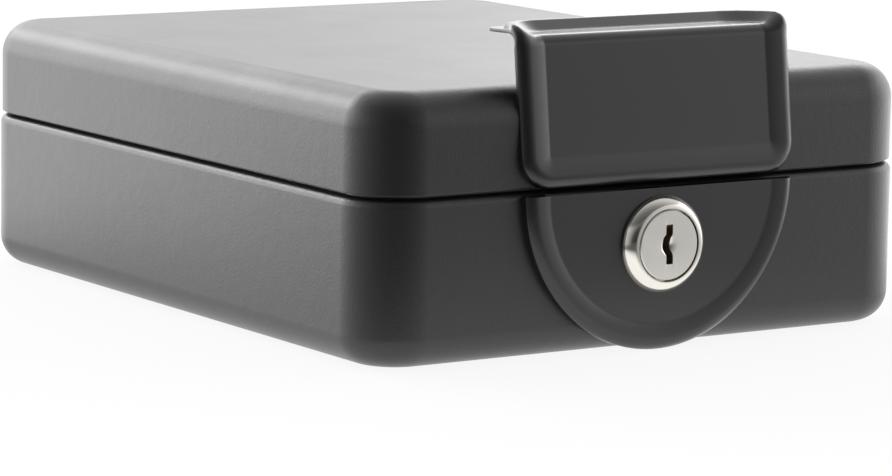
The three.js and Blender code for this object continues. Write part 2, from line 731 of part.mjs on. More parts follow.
function makeLidLeaf(side) {
  const x = side * hingeSpread;
  const back = boxDepth / 2 - lidInset - sheet - faceGap;
  const top = lidWallTop - lidLeafTop;
  const plate = block([x - hingeHalf, back - leafThickness, hingeHeight], [x + hingeHalf, back, top]);
  const knuckle = barX(knuckleRadius, x - middleHalf, x + middleHalf, hingeAxisY, hingeHeight, smallRoundSteps);
  const clear = knuckleRadius + knuckleGap;
  const ends = [-1, 1].map((end) => {
    const [inner, outer] = [end * middleHalf, end * (hingeHalf + overrun)];
    return block(
      [x + Math.min(inner, outer), hingeAxisY - clear - overrun, hingeHeight - clear - overrun],
      [x + Math.max(inner, outer), hingeAxisY + clear + overrun, hingeHeight + clear],
    );
  });
  return cut(join(plate, [knuckle]), [...ends, hingeBore(x)]);
}

function makeHingePin(side) {
  const x = side * hingeSpread;
  const shankHalf = (pinLength + hingePinHeadLength) / 2;
  const shank = barX(hingePinRadius, x - shankHalf, x + shankHalf, hingeAxisY, hingeHeight, smallRoundSteps);
  const heads = [-1, 1].map((end) => {
    const inner = x + end * pinLength / 2;
    const outer = x + end * (pinLength / 2 + hingePinHeadLength);
    return barX(hingePinHead, Math.min(inner, outer), Math.max(inner, outer), hingeAxisY, hingeHeight, smallRoundSteps);
  });
  return join(shank, heads);
}

// Foam mats

function roundedOutline(halfWidth, halfDepth, radius) {
  const [cx, cy] = [halfWidth - radius, halfDepth - radius];
  const corners = [[cx, cy, 0], [-cx, cy, 90], [-cx, -cy, 180], [cx, -cy, 270]];
  const points = corners.flatMap(([x, y, start]) => arc(x, y, radius, start, start + 90, cornerSteps));
  return new THREE.Shape(points.map(([x, y]) => new THREE.Vector2(x, y)));
}

function makeTrayFoam() {
  const margin = trayEdgeRadius + foamMargin;
  const outline = roundedOutline(boxWidth / 2 - margin, boxDepth / 2 - margin, cornerRadius - trayEdgeRadius);
  return layer(outline, sheet + faceGap, sheet + faceGap + trayFoam, 1);
}

function makeLidFoam() {
  const margin = lidInset + lidEdgeRadius + foamMargin;
  const outline = roundedOutline(boxWidth / 2 - margin, boxDepth / 2 - margin, cornerRadius - lidEdgeRadius);
  const top = boxHeight - sheet - faceGap;
  return layer(outline, top - lidFoam, top, 1);
}

// The tray and what is fixed to it
addPiece(safe, 'base_tray', makeTray(), steel);
addPiece(safe, 'lock_plate', makeLockPlate(), stamped);
addPiece(safe, 'lock_housing', makeLockHousing(), nickel);
addPiece(safe, 'lock_washer', makeLockWasher(), zinc);
addPiece(safe, 'lock_nut', makeLockNut(), zinc);
addPiece(safe, 'base_foam_mat', makeTrayFoam(), foam);
for (const [name, side] of [['left', -1], ['right', 1]]) {
  const screw = plateScrew(side * lockPlateScrewSpread, lockPlateScrewHeight, trayFrontInside, lockPlateFace, lockPlateSheet);
  addPiece(safe, `lock_plate_screw_${name}`, screw, zinc);
  addPiece(safe, `hinge_tray_leaf_${name}`, makeTrayLeaf(side), steel);
  addPiece(safe, `hinge_pin_${name}`, makeHingePin(side), zinc);
}

// The turning part of the lock
addPiece(lock, 'lock_plug', makeLockPlug(), nickel);
for (let i = 0; i < waferPlaces.length; i += 1) addPiece(lock, `lock_wafer_${i + 1}`, makeWafer(i), brass);
addPiece(lock, 'lock_cam', makeCam(), zinc);
addPiece(lock, 'cam_washer', makeCamWasher(), zinc);
addPiece(lock, 'cam_screw', makeCamScrew(), zinc);

// The lid and what is fixed to it
addPiece(lid, 'lid_shell', makeLidShell(), steel);
addPiece(lid, 'handle_plate', makeHandlePlate(), stamped);
addPiece(lid, 'catch_bracket', makeCatchBracket(), zinc);
addPiece(lid, 'catch_pin', makeCatchPin(), zinc);
addPiece(lid, 'lid_foam_mat', makeLidFoam(), foam);
for (const [name, side] of [['left', -1], ['right', 1]]) {
  const face = handleFaceAt(handleScrewHeight);
  const screw = plateScrew(side * handleScrewSpread, handleScrewHeight, lidFrontInside, face, handleSheet);
  addPiece(lid, `handle_screw_${name}`, screw, zinc);
  addPiece(lid, `hinge_lid_leaf_${name}`, makeLidLeaf(side), steel);
}

export default safe;
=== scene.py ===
"""Portable car safe: dressed pieces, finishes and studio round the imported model. Sizes are in millimetres."""
import logging
import math
from dataclasses import dataclass
from enum import Enum
from typing import Any, Iterable, Sequence

import bmesh
import bpy
from mathutils import Matrix, Vector


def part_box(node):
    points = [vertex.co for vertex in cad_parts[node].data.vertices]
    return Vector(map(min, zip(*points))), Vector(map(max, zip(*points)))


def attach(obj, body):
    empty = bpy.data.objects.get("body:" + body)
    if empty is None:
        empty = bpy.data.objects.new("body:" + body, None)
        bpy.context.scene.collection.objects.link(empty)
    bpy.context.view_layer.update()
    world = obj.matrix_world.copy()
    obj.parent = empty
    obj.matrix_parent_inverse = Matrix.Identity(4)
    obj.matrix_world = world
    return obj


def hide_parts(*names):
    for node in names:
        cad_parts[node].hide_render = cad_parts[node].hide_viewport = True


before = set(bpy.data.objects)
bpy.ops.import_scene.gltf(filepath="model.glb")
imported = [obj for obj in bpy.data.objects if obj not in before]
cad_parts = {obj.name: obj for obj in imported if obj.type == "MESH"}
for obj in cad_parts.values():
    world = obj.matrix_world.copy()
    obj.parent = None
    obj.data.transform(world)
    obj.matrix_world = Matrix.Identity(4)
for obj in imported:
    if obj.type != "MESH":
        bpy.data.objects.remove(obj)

Mesh = bmesh.types.BMesh
Piece = bpy.types.Object
Tree = bpy.types.NodeTree

MM = 0.001
WELD = 0.002
log = logging.getLogger("car_safe")


class Body(Enum):
    """The bodies that pieces ride on."""

    BASE = "base"
    LOCK = "lock"
    LID = "lid"


class Slot(Enum):
    """The record's material slots."""

    STEEL = "steel"
    STAMPED = "stamped"
    NICKEL = "nickel"
    ZINC = "zinc"
    BRASS = "brass"
    FOAM = "foam"


# Mesh helpers


def bevel_edges(shape: Mesh, edges: Iterable[Any], radius: float, segments: int) -> None:
    """Rounds edges over.

    Args:
        shape: The mesh being worked on.
        edges: The edges to round.
        radius: Radius of the rounding.
        segments: Facets across it.
    """
    bmesh.ops.bevel(
        shape, geom=list(edges), offset=radius, offset_type="OFFSET", segments=segments, profile=0.5,
        affect="EDGES", clamp_overlap=True, material=-1,
    )


def level_edges(shape: Mesh, height: float) -> list:
    """Finds the edges whose two ends lie at one height."""
    return [e for e in shape.edges if all(abs(v.co.z - height) < WELD for v in e.verts)]


def rounded_block(half: tuple[float, float], low: float, high: float, corner: float, steps: int) -> Mesh:
    """Makes a block whose four upright edges are rounded.

    Args:
        half: Half its width and half its depth.
        low: Height of its bottom.
        high: Height of its top.
        corner: Radius of the upright edges.
        steps: Facets across each of them.

    Returns:
        The block.
    """
    shape = bmesh.new()
    bmesh.ops.create_cube(shape, size=2.0)
    size = Matrix.Diagonal((half[0], half[1], (high - low) / 2, 1))
    bmesh.ops.transform(shape, matrix=Matrix.Translation((0, 0, (low + high) / 2)) @ size, verts=shape.verts)
    upright = [e for e in shape.edges if abs(e.verts[0].co.z - e.verts[1].co.z) > (high - low) / 2]
    bevel_edges(shape, upright, corner, steps)
    return shape


def box_between(shape: Mesh, low: Sequence[float], high: Sequence[float]) -> list:
    """Adds a plain box.

    Args:
        shape: The mesh that gets it.
        low: Its lowest corner.
        high: Its highest corner.

    Returns:
        Its vertices.
    """
    low, high = Vector(low), Vector(high)
    made = bmesh.ops.create_cube(shape, size=1.0)["verts"]
    size = Matrix.Diagonal((*(high - low), 1))
    bmesh.ops.transform(shape, matrix=Matrix.Translation((low + high) / 2) @ size, verts=made)
    return made


def rod_along_y(
    shape: Mesh, radius: float, start: float, end: float, centre: tuple[float, float], steps: int = 48,
) -> list:
    """Adds a capped rod that runs to the back.

    Args:
        shape: The mesh that gets it.
        radius: Its radius.
        start: Where it starts on Y.
        end: Where it ends on Y.
        centre: Its X and Z.
        steps: Facets round it.

    Returns:
        Its vertices.
    """
    made = bmesh.ops.create_cone(
        shape, cap_ends=True, cap_tris=False, segments=steps, radius1=radius, radius2=radius, depth=end - start,
    )["verts"]
    turn = Matrix.Rotation(math.radians(-90), 4, "X")
    place = Matrix.Translation((centre[0], (start + end) / 2, centre[1]))
    bmesh.ops.transform(shape, matrix=place @ turn, verts=made)
    return made


def turned(points: Sequence[tuple[float, float]], centre: tuple[float, float], steps: int) -> Mesh:
    """Turns a profile on an axis that runs along Y.

    Args:
        points: The profile, as radius and Y.
        centre: The axis's X and Z.
        steps: Facets round it.

    Returns:
        The turned shape, its poles closed.
    """
    shape = bmesh.new()
    verts = [shape.verts.new((centre[0] + radius, y, centre[1])) for radius, y in points]
    edges = [shape.edges.new(pair) for pair in zip(verts, verts[1:])]
    bmesh.ops.spin(
        shape, geom=verts + edges, cent=(centre[0], 0, centre[1]), axis=(0, 1, 0), angle=math.tau, steps=steps,
        use_merge=True,
    )
    bmesh.ops.remove_doubles(shape, verts=shape.verts, dist=WELD)
    bmesh.ops.recalc_face_normals(shape, faces=shape.faces)
    return shape


def slice_at(shape: Mesh, place: Vector, normal: Vector, dist: float = WELD, clear: bool = False) -> None:
    """Cuts a shape's faces along a plane, and clears what lies on the normal's side if asked to."""
    everything = shape.verts[:] + shape.edges[:] + shape.faces[:]
    bmesh.ops.bisect_plane(shape, geom=everything, dist=dist, plane_co=place, plane_no=normal, clear_outer=clear)


def new_piece(name: str, shape: Mesh) -> Piece:
    """Makes an object in metres of a shape in millimetres.

    Args:
        name: The object's name.
        shape: The shape, which is freed.

    Returns:
        The object, at the origin.
    """
    bmesh.ops.transform(shape, matrix=Matrix.Scale(MM, 4), verts=shape.verts)
    mesh = bpy.data.meshes.new(name)
    shape.to_mesh(mesh)
    shape.free()
    piece = bpy.data.objects.new(name, mesh)
    bpy.context.scene.collection.objects.link(piece)
    return piece


def apply_modifiers(piece: Piece) -> None:
    """Puts what a piece's modifiers make into its mesh.

    Args:
        piece: The piece.
    """
    bpy.context.view_layer.update()
    seen = piece.evaluated_get(bpy.context.evaluated_depsgraph_get())
    mesh = bpy.data.meshes.new_from_object(seen)
    piece.modifiers.clear()
    piece.data = mesh


def thicken(piece: Piece, sheet: float, even: bool = True) -> None:
    """Gives a skin the thickness of its sheet, inwards.

    Args:
        piece: The skin.
        sheet: Thickness of the sheet.
        even: Whether the thickness is held at the skin's sharp edges too.
    """
    wall = piece.modifiers.new("wall", "SOLIDIFY")
    wall.thickness = sheet * MM
    wall.offset = -1
    wall.use_even_offset = even
    apply_modifiers(piece)


def cut_away(piece: Piece, tool: Mesh) -> None:
    """Cuts tools out of a piece.

    Args:
        piece: The piece.
        tool: The tools, in millimetres, which are freed.
    """
    bmesh.ops.recalc_face_normals(tool, faces=tool.faces)
    cutter = new_piece("cutter", tool)
    cut = piece.modifiers.new("cut", "BOOLEAN")
    cut.operation = "DIFFERENCE"
    cut.solver = "EXACT"
    cut.object = cutter
    apply_modifiers(piece)
    bpy.data.objects.remove(cutter)


def ease_edges(piece: Piece, width: float, angle: float = 35, segments: int = 2) -> None:
    """Breaks a piece's sharp edges and shades its flats flat.

    Args:
        piece: The piece.
        width: Width of the broken edge.
        angle: Least angle of an edge that is broken, in degrees.
        segments: Facets across it.
    """
    piece.data.shade_smooth()
    piece.data.set_sharp_from_angle(angle=math.radians(angle))
    if width > 0:
        edge = piece.modifiers.new("broken_edges", "BEVEL")
        edge.width = width * MM
        edge.segments = segments
        edge.limit_method = "ANGLE"
        edge.angle_limit = math.radians(angle)
        edge.use_clamp_overlap = True
        edge.harden_normals = False
    flats = piece.modifiers.new("flats", "WEIGHTED_NORMAL")
    flats.keep_sharp = width <= 0
    flats.weight = 80


def node_copy(name: str, node: str) -> Piece:
    """Makes a merged copy of a CAD node, to be dressed.

    Args:
        name: The copy's name.
        node: The CAD node.

    Returns:
        The copy.
    """
    shape = bmesh.new()
    shape.from_mesh(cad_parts[node].data)
    bmesh.ops.transform(shape, matrix=Matrix.Scale(1 / MM, 4), verts=shape.verts)
    bmesh.ops.remove_doubles(shape, verts=shape.verts, dist=WELD)
    bmesh.ops.dissolve_limit(shape, angle_limit=math.radians(0.5), verts=shape.verts, edges=shape.edges)
    return new_piece(name, shape)


# Finishes


def linear(colour: str) -> tuple[float, float, float, float]:
    """Turns an sRGB hex colour to linear.

    Args:
        colour: Six hex digits after a #.

    Returns:
        Red, green, blue and alpha.
    """
    levels = [int(colour[i:i + 2], 16) / 255 for i in (1, 3, 5)]
    return (*(c / 12.92 if c <= 0.04045 else ((c + 0.055) / 1.055) ** 2.4 for c in levels), 1.0)


def add_node(tree: Tree, kind: str, settings: dict | None = None, links: dict | None = None) -> Any:
    """Adds a node with its settings and links.

    Args:
        tree: The tree that gets it.
        kind: The node's type, without ShaderNode before it.
        settings: Values by property name, input name or input number.
        links: Sockets that feed its inputs, by input name or number.

    Returns:
        The node.
    """
    node = tree.nodes.new(f"ShaderNode{kind}")
    for key, value in (settings or {}).items():
        if isinstance(key, str) and hasattr(node, key):
            setattr(node, key, value)
        else:
            node.inputs[key].default_value = value
    for key, socket in (links or {}).items():
        tree.links.new(socket, node.inputs[key])
    return node


def per_mm(size: float) -> float:
    """Gives the texture scale at which one cell is that many millimetres wide."""
    return 1 / (size * MM)

def noise(tree: Tree, place: Any, size: float, detail: float, roughness: float = 0.5) -> Any:
    """Adds a soft noise with blotches of a given width in millimetres, and gives its socket."""
    settings = {"Scale": per_mm(size), "Detail": detail, "Roughness": roughness}
    return add_node(tree, "TexNoise", settings, {"Vector": place}).outputs["Fac"]


def emboss(
    tree: Tree, shader: Any, depth: float, *heights: Any, strength: float = 1.0, invert: bool = False,
) -> None:
    """Gives a shader one bump on another.

    Args:
        tree: The material's tree.
        shader: Its shader.
        depth: Height of each bump.
        heights: Sockets that give the bumps, the lowest first.
        strength: Share of the bumps that shows.
        invert: Whether the bumps are hollows.
    """
    settings = {"Strength": strength, "Distance": depth * MM, "invert": invert}
    below = {}
    for height in heights:
        bump = add_node(tree, "Bump", settings, {"Height": height, **below})
        below = {"Normal": bump.outputs["Normal"]}
    tree.links.new(below["Normal"], shader.inputs["Normal"])


@dataclass(frozen=True)
class Finish:
    """What every finish has: a name, two close colours and a roughness."""

    name: str
    colour: str
    shade: str
    roughness: float
    roughness_spread: float
    blotch: float

    def material(self) -> bpy.types.Material:
        """Makes the material, or gives the one already made.

        Returns:
            The material.
        """
        if self.name in bpy.data.materials:
            return bpy.data.materials[self.name]
        material = bpy.data.materials.new(self.name)
        material.use_nodes = True
        material.diffuse_color = linear(self.colour)
        tree = material.node_tree
        tree.nodes.clear()
        shader = add_node(tree, "BsdfPrincipled", self.shader_settings())
        add_node(tree, "OutputMaterial", links={"Surface": shader.outputs["BSDF"]})
        place = add_node(tree, "TexCoord").outputs["Object"]
        self.vary(tree, shader, place)
        self.relief(tree, shader, place)
        return material

    def shader_settings(self) -> dict:
        """Gives the values that are the same all over."""
        return {"Metallic": 0.0, "IOR": 1.5}

    def vary(self, tree: Tree, shader: Any, place: Any) -> None:
        """Varies colour and roughness in soft blotches.

        Args:
            tree: The material's tree.
            shader: Its shader.
            place: The coordinates.
        """
        cloud = noise(tree, place, self.blotch, 3.0, 0.6)
        colour = add_node(
            tree, "Mix", {"data_type": "RGBA", 6: linear(self.colour), 7: linear(self.shade)}, {0: cloud},
        )
        rough = add_node(
            tree, "MapRange",
            {"To Min": self.roughness - self.roughness_spread, "To Max": self.roughness + self.roughness_spread},
            {"Value": cloud},
        )
        tree.links.new(colour.outputs[2], shader.inputs["Base Color"])
        tree.links.new(rough.outputs["Result"], shader.inputs["Roughness"])

    def relief(self, tree: Tree, shader: Any, place: Any) -> None:
        """Adds the finish's relief; a plain finish has none."""


@dataclass(frozen=True)
class PowderCoat(Finish):
    """Polyester powder baked on pressed steel: a close, fine orange peel that breaks gloss into a soft grainy sheen."""

    grain: float = 0.55
    wave: float = 3.85
    grain_height: float = 0.045

    def relief(self, tree: Tree, shader: Any, place: Any) -> None:
        """Adds the grain of the baked powder over the slight waviness under it."""
        wave, grain = noise(tree, place, self.wave, 1.0), noise(tree, place, self.grain, 2.0, 0.55)
        emboss(tree, shader, self.grain_height, wave, grain)


@dataclass(frozen=True)
class SatinPaint(Finish):
    """Sprayed satin enamel on stamped steel: smoother than the coat, with a silky glow at its bends."""

    peel: float = 2.4
    peel_height: float = 0.006

    def relief(self, tree: Tree, shader: Any, place: Any) -> None:
        """Adds the faint orange peel that sprayed paint dries with."""
        emboss(tree, shader, self.peel_height, noise(tree, place, self.peel, 1.5))


@dataclass(frozen=True)
class PlatedMetal(Finish):
    """Plated metal: the whole light of the room in it, broken by fine brush lines or by the plate's spangle."""

    line: float = 0.12
    line_length: float = 6.0
    line_height: float = 0.002

    def shader_settings(self) -> dict:
        """Gives the values that are the same all over."""
        return {"Metallic": 1.0}

    def relief(self, tree: Tree, shader: Any, place: Any) -> None:
        """Adds lines that run across, as a brush or a die leaves them.

        Args:
            tree: The material's tree.
            shader: Its shader.
            place: The coordinates.
        """
        stretch = (self.line / self.line_length, 1.0, 1.0)
        along = add_node(tree, "Mapping", {"Scale": stretch}, {"Vector": place})
        emboss(tree, shader, self.line_height, noise(tree, along.outputs["Vector"], self.line, 2.0))


@dataclass(frozen=True)
class ThreadedMetal(PlatedMetal):
    """Plated metal with a cut thread: close bright and dark rings along the barrel."""

    pitch: float = 1.0
    thread_height: float = 0.25

    def relief(self, tree: Tree, shader: Any, place: Any) -> None:
        """Adds the thread's crests, one to each pitch.

        Args:
            tree: The material's tree.
            shader: Its shader.
            place: The coordinates.
        """
        # A band texture draws a full wave for each pi / 10 units of its scaled coordinate
        scale = per_mm(self.pitch) * math.pi / 10
        bands = {"wave_type": "BANDS", "bands_direction": "Y", "wave_profile": "TRI", "Scale": scale}
        rings = add_node(tree, "TexWave", bands, {"Vector": place}).outputs["Fac"]
        emboss(tree, shader, self.thread_height, rings)


@dataclass(frozen=True)
class OpenCellFoam(Finish):
    """Black polyurethane foam sheet: no gloss at all, and a skin of tiny open cells."""

    # Real cells are about 0.4 mm; they are drawn twice that, or they would not show
    cell: float = 0.9
    cell_depth: float = 0.35

    def relief(self, tree: Tree, shader: Any, place: Any) -> None:
        """Adds the cells."""
        cells = add_node(tree, "TexVoronoi", {"Scale": per_mm(self.cell), "Randomness": 1.0}, {"Vector": place})
        emboss(tree, shader, self.cell_depth, cells.outputs["Distance"], strength=0.8, invert=True)


class Finishes:
    """The safe's finishes: name, two colours, roughness and its spread, width of a blotch, and their own sizes."""

    # Baked powder: flats fade softly from grey to black, and a fine grain shows where light grazes them
    coat = PowderCoat("charcoal_powder_coat", "#19191a", "#1c1c1d", 0.42, 0.03, 22)
    # Sprayed enamel: smooth black with a bright silky line along each bead and bend
    enamel = SatinPaint("satin_black_enamel", "#19181a", "#1c1b1d", 0.3, 0.02, 30)
    # Buffed nickel: a clear white and grey band round the lock's bevel
    polished = PlatedMetal("polished_nickel", "#cfccc5", "#c6c3bb", 0.13, 0.03, 4, 0.2, 2.0, 0.0006)
    # Brushed nickel: an even silver face, a little duller than the ring round it
    brushed = PlatedMetal("brushed_nickel", "#cbc9c4", "#c0bdb7", 0.3, 0.04, 3)
    # Cut nickel: fine light and dark rings on the barrel
    thread = ThreadedMetal("threaded_nickel", "#b8b5ae", "#a8a59e", 0.3, 0.05, 3)
    # Bright zinc: a cool, blotched grey on the small steel parts
    zinc = PlatedMetal("zinc_plate", "#b9bcc0", "#a3a7ad", 0.34, 0.07, 2.5, 0.3, 1.2, 0.003)
    # Rolled brass: a warm yellow glint from within the keyway
    brass = PlatedMetal("sheet_brass", "#c9a24f", "#b78f3f", 0.32, 0.05, 2)
    # Open-cell foam: a matt black bed that takes the light without a highlight
    foam = OpenCellFoam("black_foam", "#161617", "#1b1b1c", 0.95, 0.03, 9)


def dress(piece: Piece, body: Body, finish: Finish, nodes: Sequence[str]) -> None:
    """Gives a finished piece its material and its body, and hides the CAD nodes that it stands for.

    Args:
        piece: The piece.
        body: The body it rides on.
        finish: Its finish.
        nodes: The CAD nodes that it replaces.
    """
    piece.data.materials.clear()
    piece.data.materials.append(finish.material())
    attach(piece, body.value)
    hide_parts(*nodes)
    log.info("%s: %d faces, on %s", piece.name, len(piece.data.polygons), body.value)


def dressed_copy(name: str, node: str, body: Body, finish: Finish, edge: float) -> None:
    """Builds a piece from a merged copy of its CAD node.

    Args:
        name: The piece's name.
        node: The CAD node.
        body: The body it rides on.
        finish: Its finish.
        edge: Width of its broken edges.
    """
    piece = node_copy(name, node)
    ease_edges(piece, edge)
    dress(piece, body, finish, [node])


# Pressed shells


@dataclass
class Pressing:
    """A drawn steel shell with round corners, notched at the back for its hinges."""

    name: str
    node: str
    body: Body
    half: tuple[float, float]
    corner: float
    notch_front: float
    notch_low: float
    notch_high: float
    hem: float
    hem_steps: int
    sheet: float = 1.2
    corner_steps: int = 18
    hinge_x: float = 44.0
    notch_half: float = 19.35
    overrun: float = 3.0

    def skin(self) -> Mesh:
        """Makes the outer skin, open where the box opens; each pressing has its own."""
        raise NotImplementedError

    def notch(self, tool: Mesh, side: int) -> None:
        """Adds the tool that cuts one hinge notch.

        Args:
            tool: The mesh that gets it.
            side: -1 for the left one, 1 for the right one.
        """
        x, back = side * self.hinge_x, self.half[1] + self.overrun
        low = (x - self.notch_half, self.notch_front, self.notch_low)
        box_between(tool, low, (x + self.notch_half, back, self.notch_high))

    def openings(self) -> Mesh:
        """Makes the tools that cut the hinge notches.

        Returns:
            The tools.
        """
        tool = bmesh.new()
        for side in (-1, 1):
            self.notch(tool, side)
        return tool

    def build(self) -> None:
        """Builds and dresses the pressing."""
        piece = new_piece(self.name, self.skin())
        thicken(piece, self.sheet)
        cut_away(piece, self.openings())
        ease_edges(piece, self.hem, segments=self.hem_steps)
        dress(piece, self.body, Finishes.coat, [self.node])


@dataclass
class Tray(Pressing):
    """The base: a pressed tray with a rounded shoulder, and a lip that the lid closes over."""

    name: str = "tray_pressing"
    node: str = "base_tray"
    body: Body = Body.BASE
    half: tuple[float, float] = (77.5, 95.0)
    corner: float = 14.5
    notch_front: float = 89.3
    notch_low: float = 36.9
    notch_high: float = 48.5
    hem: float = 0.15
    hem_steps: int = 2
    foot_radius: float = 7.6
    shoulder_top: float = 38.9
    shoulder_radius: float = 2.0
    lip_gap: float = 0.5
    lip_top: float = 45.5
    lip_fillet: float = 0.45
    lock_height: float = 25.0
    barrel_radius: float = 9.5
    barrel_flat: float = 8.4
    screw_at: tuple[float, float] = (25.0, 30.0)
    screw_hole: float = 1.6

    def skin(self) -> Mesh:
        """Makes the outer skin, open at the top of the lip.

        Returns:
            The skin.
        """
        shape = rounded_block(self.half, 0, self.shoulder_top, self.corner, self.corner_steps)
        bevel_edges(shape, level_edges(shape, 0), self.foot_radius, 12)
        bevel_edges(shape, level_edges(shape, self.shoulder_top), self.shoulder_radius, 6)
        shape.faces.ensure_lookup_table()
        top = max(shape.faces, key=lambda f: f.calc_center_median().z)
        bmesh.ops.inset_region(shape, faces=[top], thickness=self.lip_gap, use_even_offset=True)
        foot = list(top.edges)
        made = bmesh.ops.extrude_face_region(shape, geom=[top])["geom"]
        # The face stays at the lip's foot when its copy rises, and would close the box across the middle
        if top.is_valid:
            bmesh.ops.delete(shape, geom=[top], context="FACES")
        rise = (0, 0, self.lip_top - self.shoulder_top)
        bmesh.ops.translate(shape, vec=rise, verts=[g for g in made if isinstance(g, bmesh.types.BMVert)])
        bmesh.ops.delete(shape, geom=[g for g in made if isinstance(g, bmesh.types.BMFace)], context="FACES")
        bevel_edges(shape, [e for e in foot if e.is_valid], self.lip_fillet, 3)
        return shape

    def openings(self) -> Mesh:
        """Makes the tools that cut the hinge notches, the lock's hole and the plate's screw holes.

        Returns:
            The tools.
        """
        tool = bmesh.new()
        front = -self.half[1] - self.overrun
        back = front + 3 * self.overrun
        for side in (-1, 1):
            self.notch(tool, side)
            rod_along_y(tool, self.screw_hole, front, back, (side * self.screw_at[0], self.screw_at[1]))
        for vert in rod_along_y(tool, self.barrel_radius, front, back, (0, self.lock_height)):
            rise = vert.co.z - self.lock_height
            vert.co.z = self.lock_height + max(-self.barrel_flat, min(self.barrel_flat, rise))
        return tool


@dataclass
class Lid(Pressing):
    """The lid: a pressed shell with a wide rounded top edge, open below."""

    name: str = "lid_pressing"
    node: str = "lid_shell"
    body: Body = Body.LID
    half: tuple[float, float] = (77.15, 94.65)
    corner: float = 14.15
    notch_front: float = 91.45
    notch_low: float = 36.75
    notch_high: float = 42.1
    hem: float = 0.35
    hem_steps: int = 3
    seam: float = 39.75
    top: float = 63.0
    edge_radius: float = 8.4

    def skin(self) -> Mesh:
        """Makes the outer skin, open below.

        Returns:
            The skin.
        """
        shape = rounded_block(self.half, self.seam, self.top, self.corner, self.corner_steps)
        bevel_edges(shape, level_edges(shape, self.top), self.edge_radius, 14)
        shape.faces.ensure_lookup_table()
        under = min(shape.faces, key=lambda f: f.calc_center_median().z)
        bmesh.ops.delete(shape, geom=[under], context="FACES")
        return shape


# Stamped plates


@dataclass
class BeadedEdge:
    """The section of a stamped plate's border: a slope up from the sunk panel, and a bead that rolls over outwards."""

    width: float
    radius: float
    roll: float = math.radians(60)
    crest_tilt: float = math.radians(4)
    foot_tilt: float = math.radians(15)

    def __post_init__(self) -> None:
        """Works out the bead's width and how far its crest stands over the panel."""
        self.bead = self.radius * (math.sin(self.roll) + math.sin(self.crest_tilt))
        self.crest = self.slope(self.bead) + self.radius * (1 - math.cos(self.crest_tilt))

    def slope(self, inset: float) -> float:
        """Gives the height of the slope between the panel and the bead.

        Args:
            inset: Distance in from the outline.

        Returns:
            The height over the panel.
        """
        gentle, steep = math.tan(self.crest_tilt), math.tan(self.foot_tilt)
        rest = max(self.width - inset, 0)
        here = steep - (steep - gentle) * rest / (self.width - self.bead)
        return rest * (here + steep) / 2

    def height(self, inset: float) -> float:
        """Gives the surface's height over the panel.

        Args:
            inset: Distance in from the outline.

        Returns:
            The height.
        """
        if inset >= self.bead:
            return self.slope(inset)
        along = self.radius * math.sin(self.roll) - inset
        return self.crest - self.radius + math.sqrt(self.radius ** 2 - along ** 2)

    def insets(self, bead_steps: int = 14, slope_steps: int = 5) -> list[float]:
        """Gives the distances in from the outline at which the section has its points.

        Args:
            bead_steps: Facets of the bead.
            slope_steps: Facets of the slope.

        Returns:
            The distances, from the outline inwards.
        """
        angles = [self.roll - (self.roll + self.crest_tilt) * i / bead_steps for i in range(bead_steps + 1)]
        bead = [self.radius * (math.sin(self.roll) - math.sin(angle)) for angle in angles]
        return bead + [self.bead + (self.width - self.bead) * i / slope_steps for i in range(1, slope_steps + 1)]


@dataclass
class CurledEdge:
    """The section of the grip's lip: it turns up from the panel in a hollow and rolls over at its edge."""

    width: float = 6.2
    radius: float = 1.2
    hollow: float = 1.8
    slope: float = math.radians(34)

    def height(self, inset: float) -> float:
        """Gives the surface's height over the panel.

        Args:
            inset: Distance in from the outline.

        Returns:
            The height.
        """
        roll = self.radius * (1 + math.sin(self.slope))
        rest = max(self.width - max(inset, roll), 0)
        turned_up = min(rest, self.hollow)
        rise = math.tan(self.slope) * (rest - turned_up + turned_up ** 2 / (2 * self.hollow))
        if inset >= roll:
            return rise
        crest = rise + self.radius * (1 - math.cos(self.slope))
        return crest - self.radius + math.sqrt(max(self.radius ** 2 - (self.radius - inset) ** 2, 0))


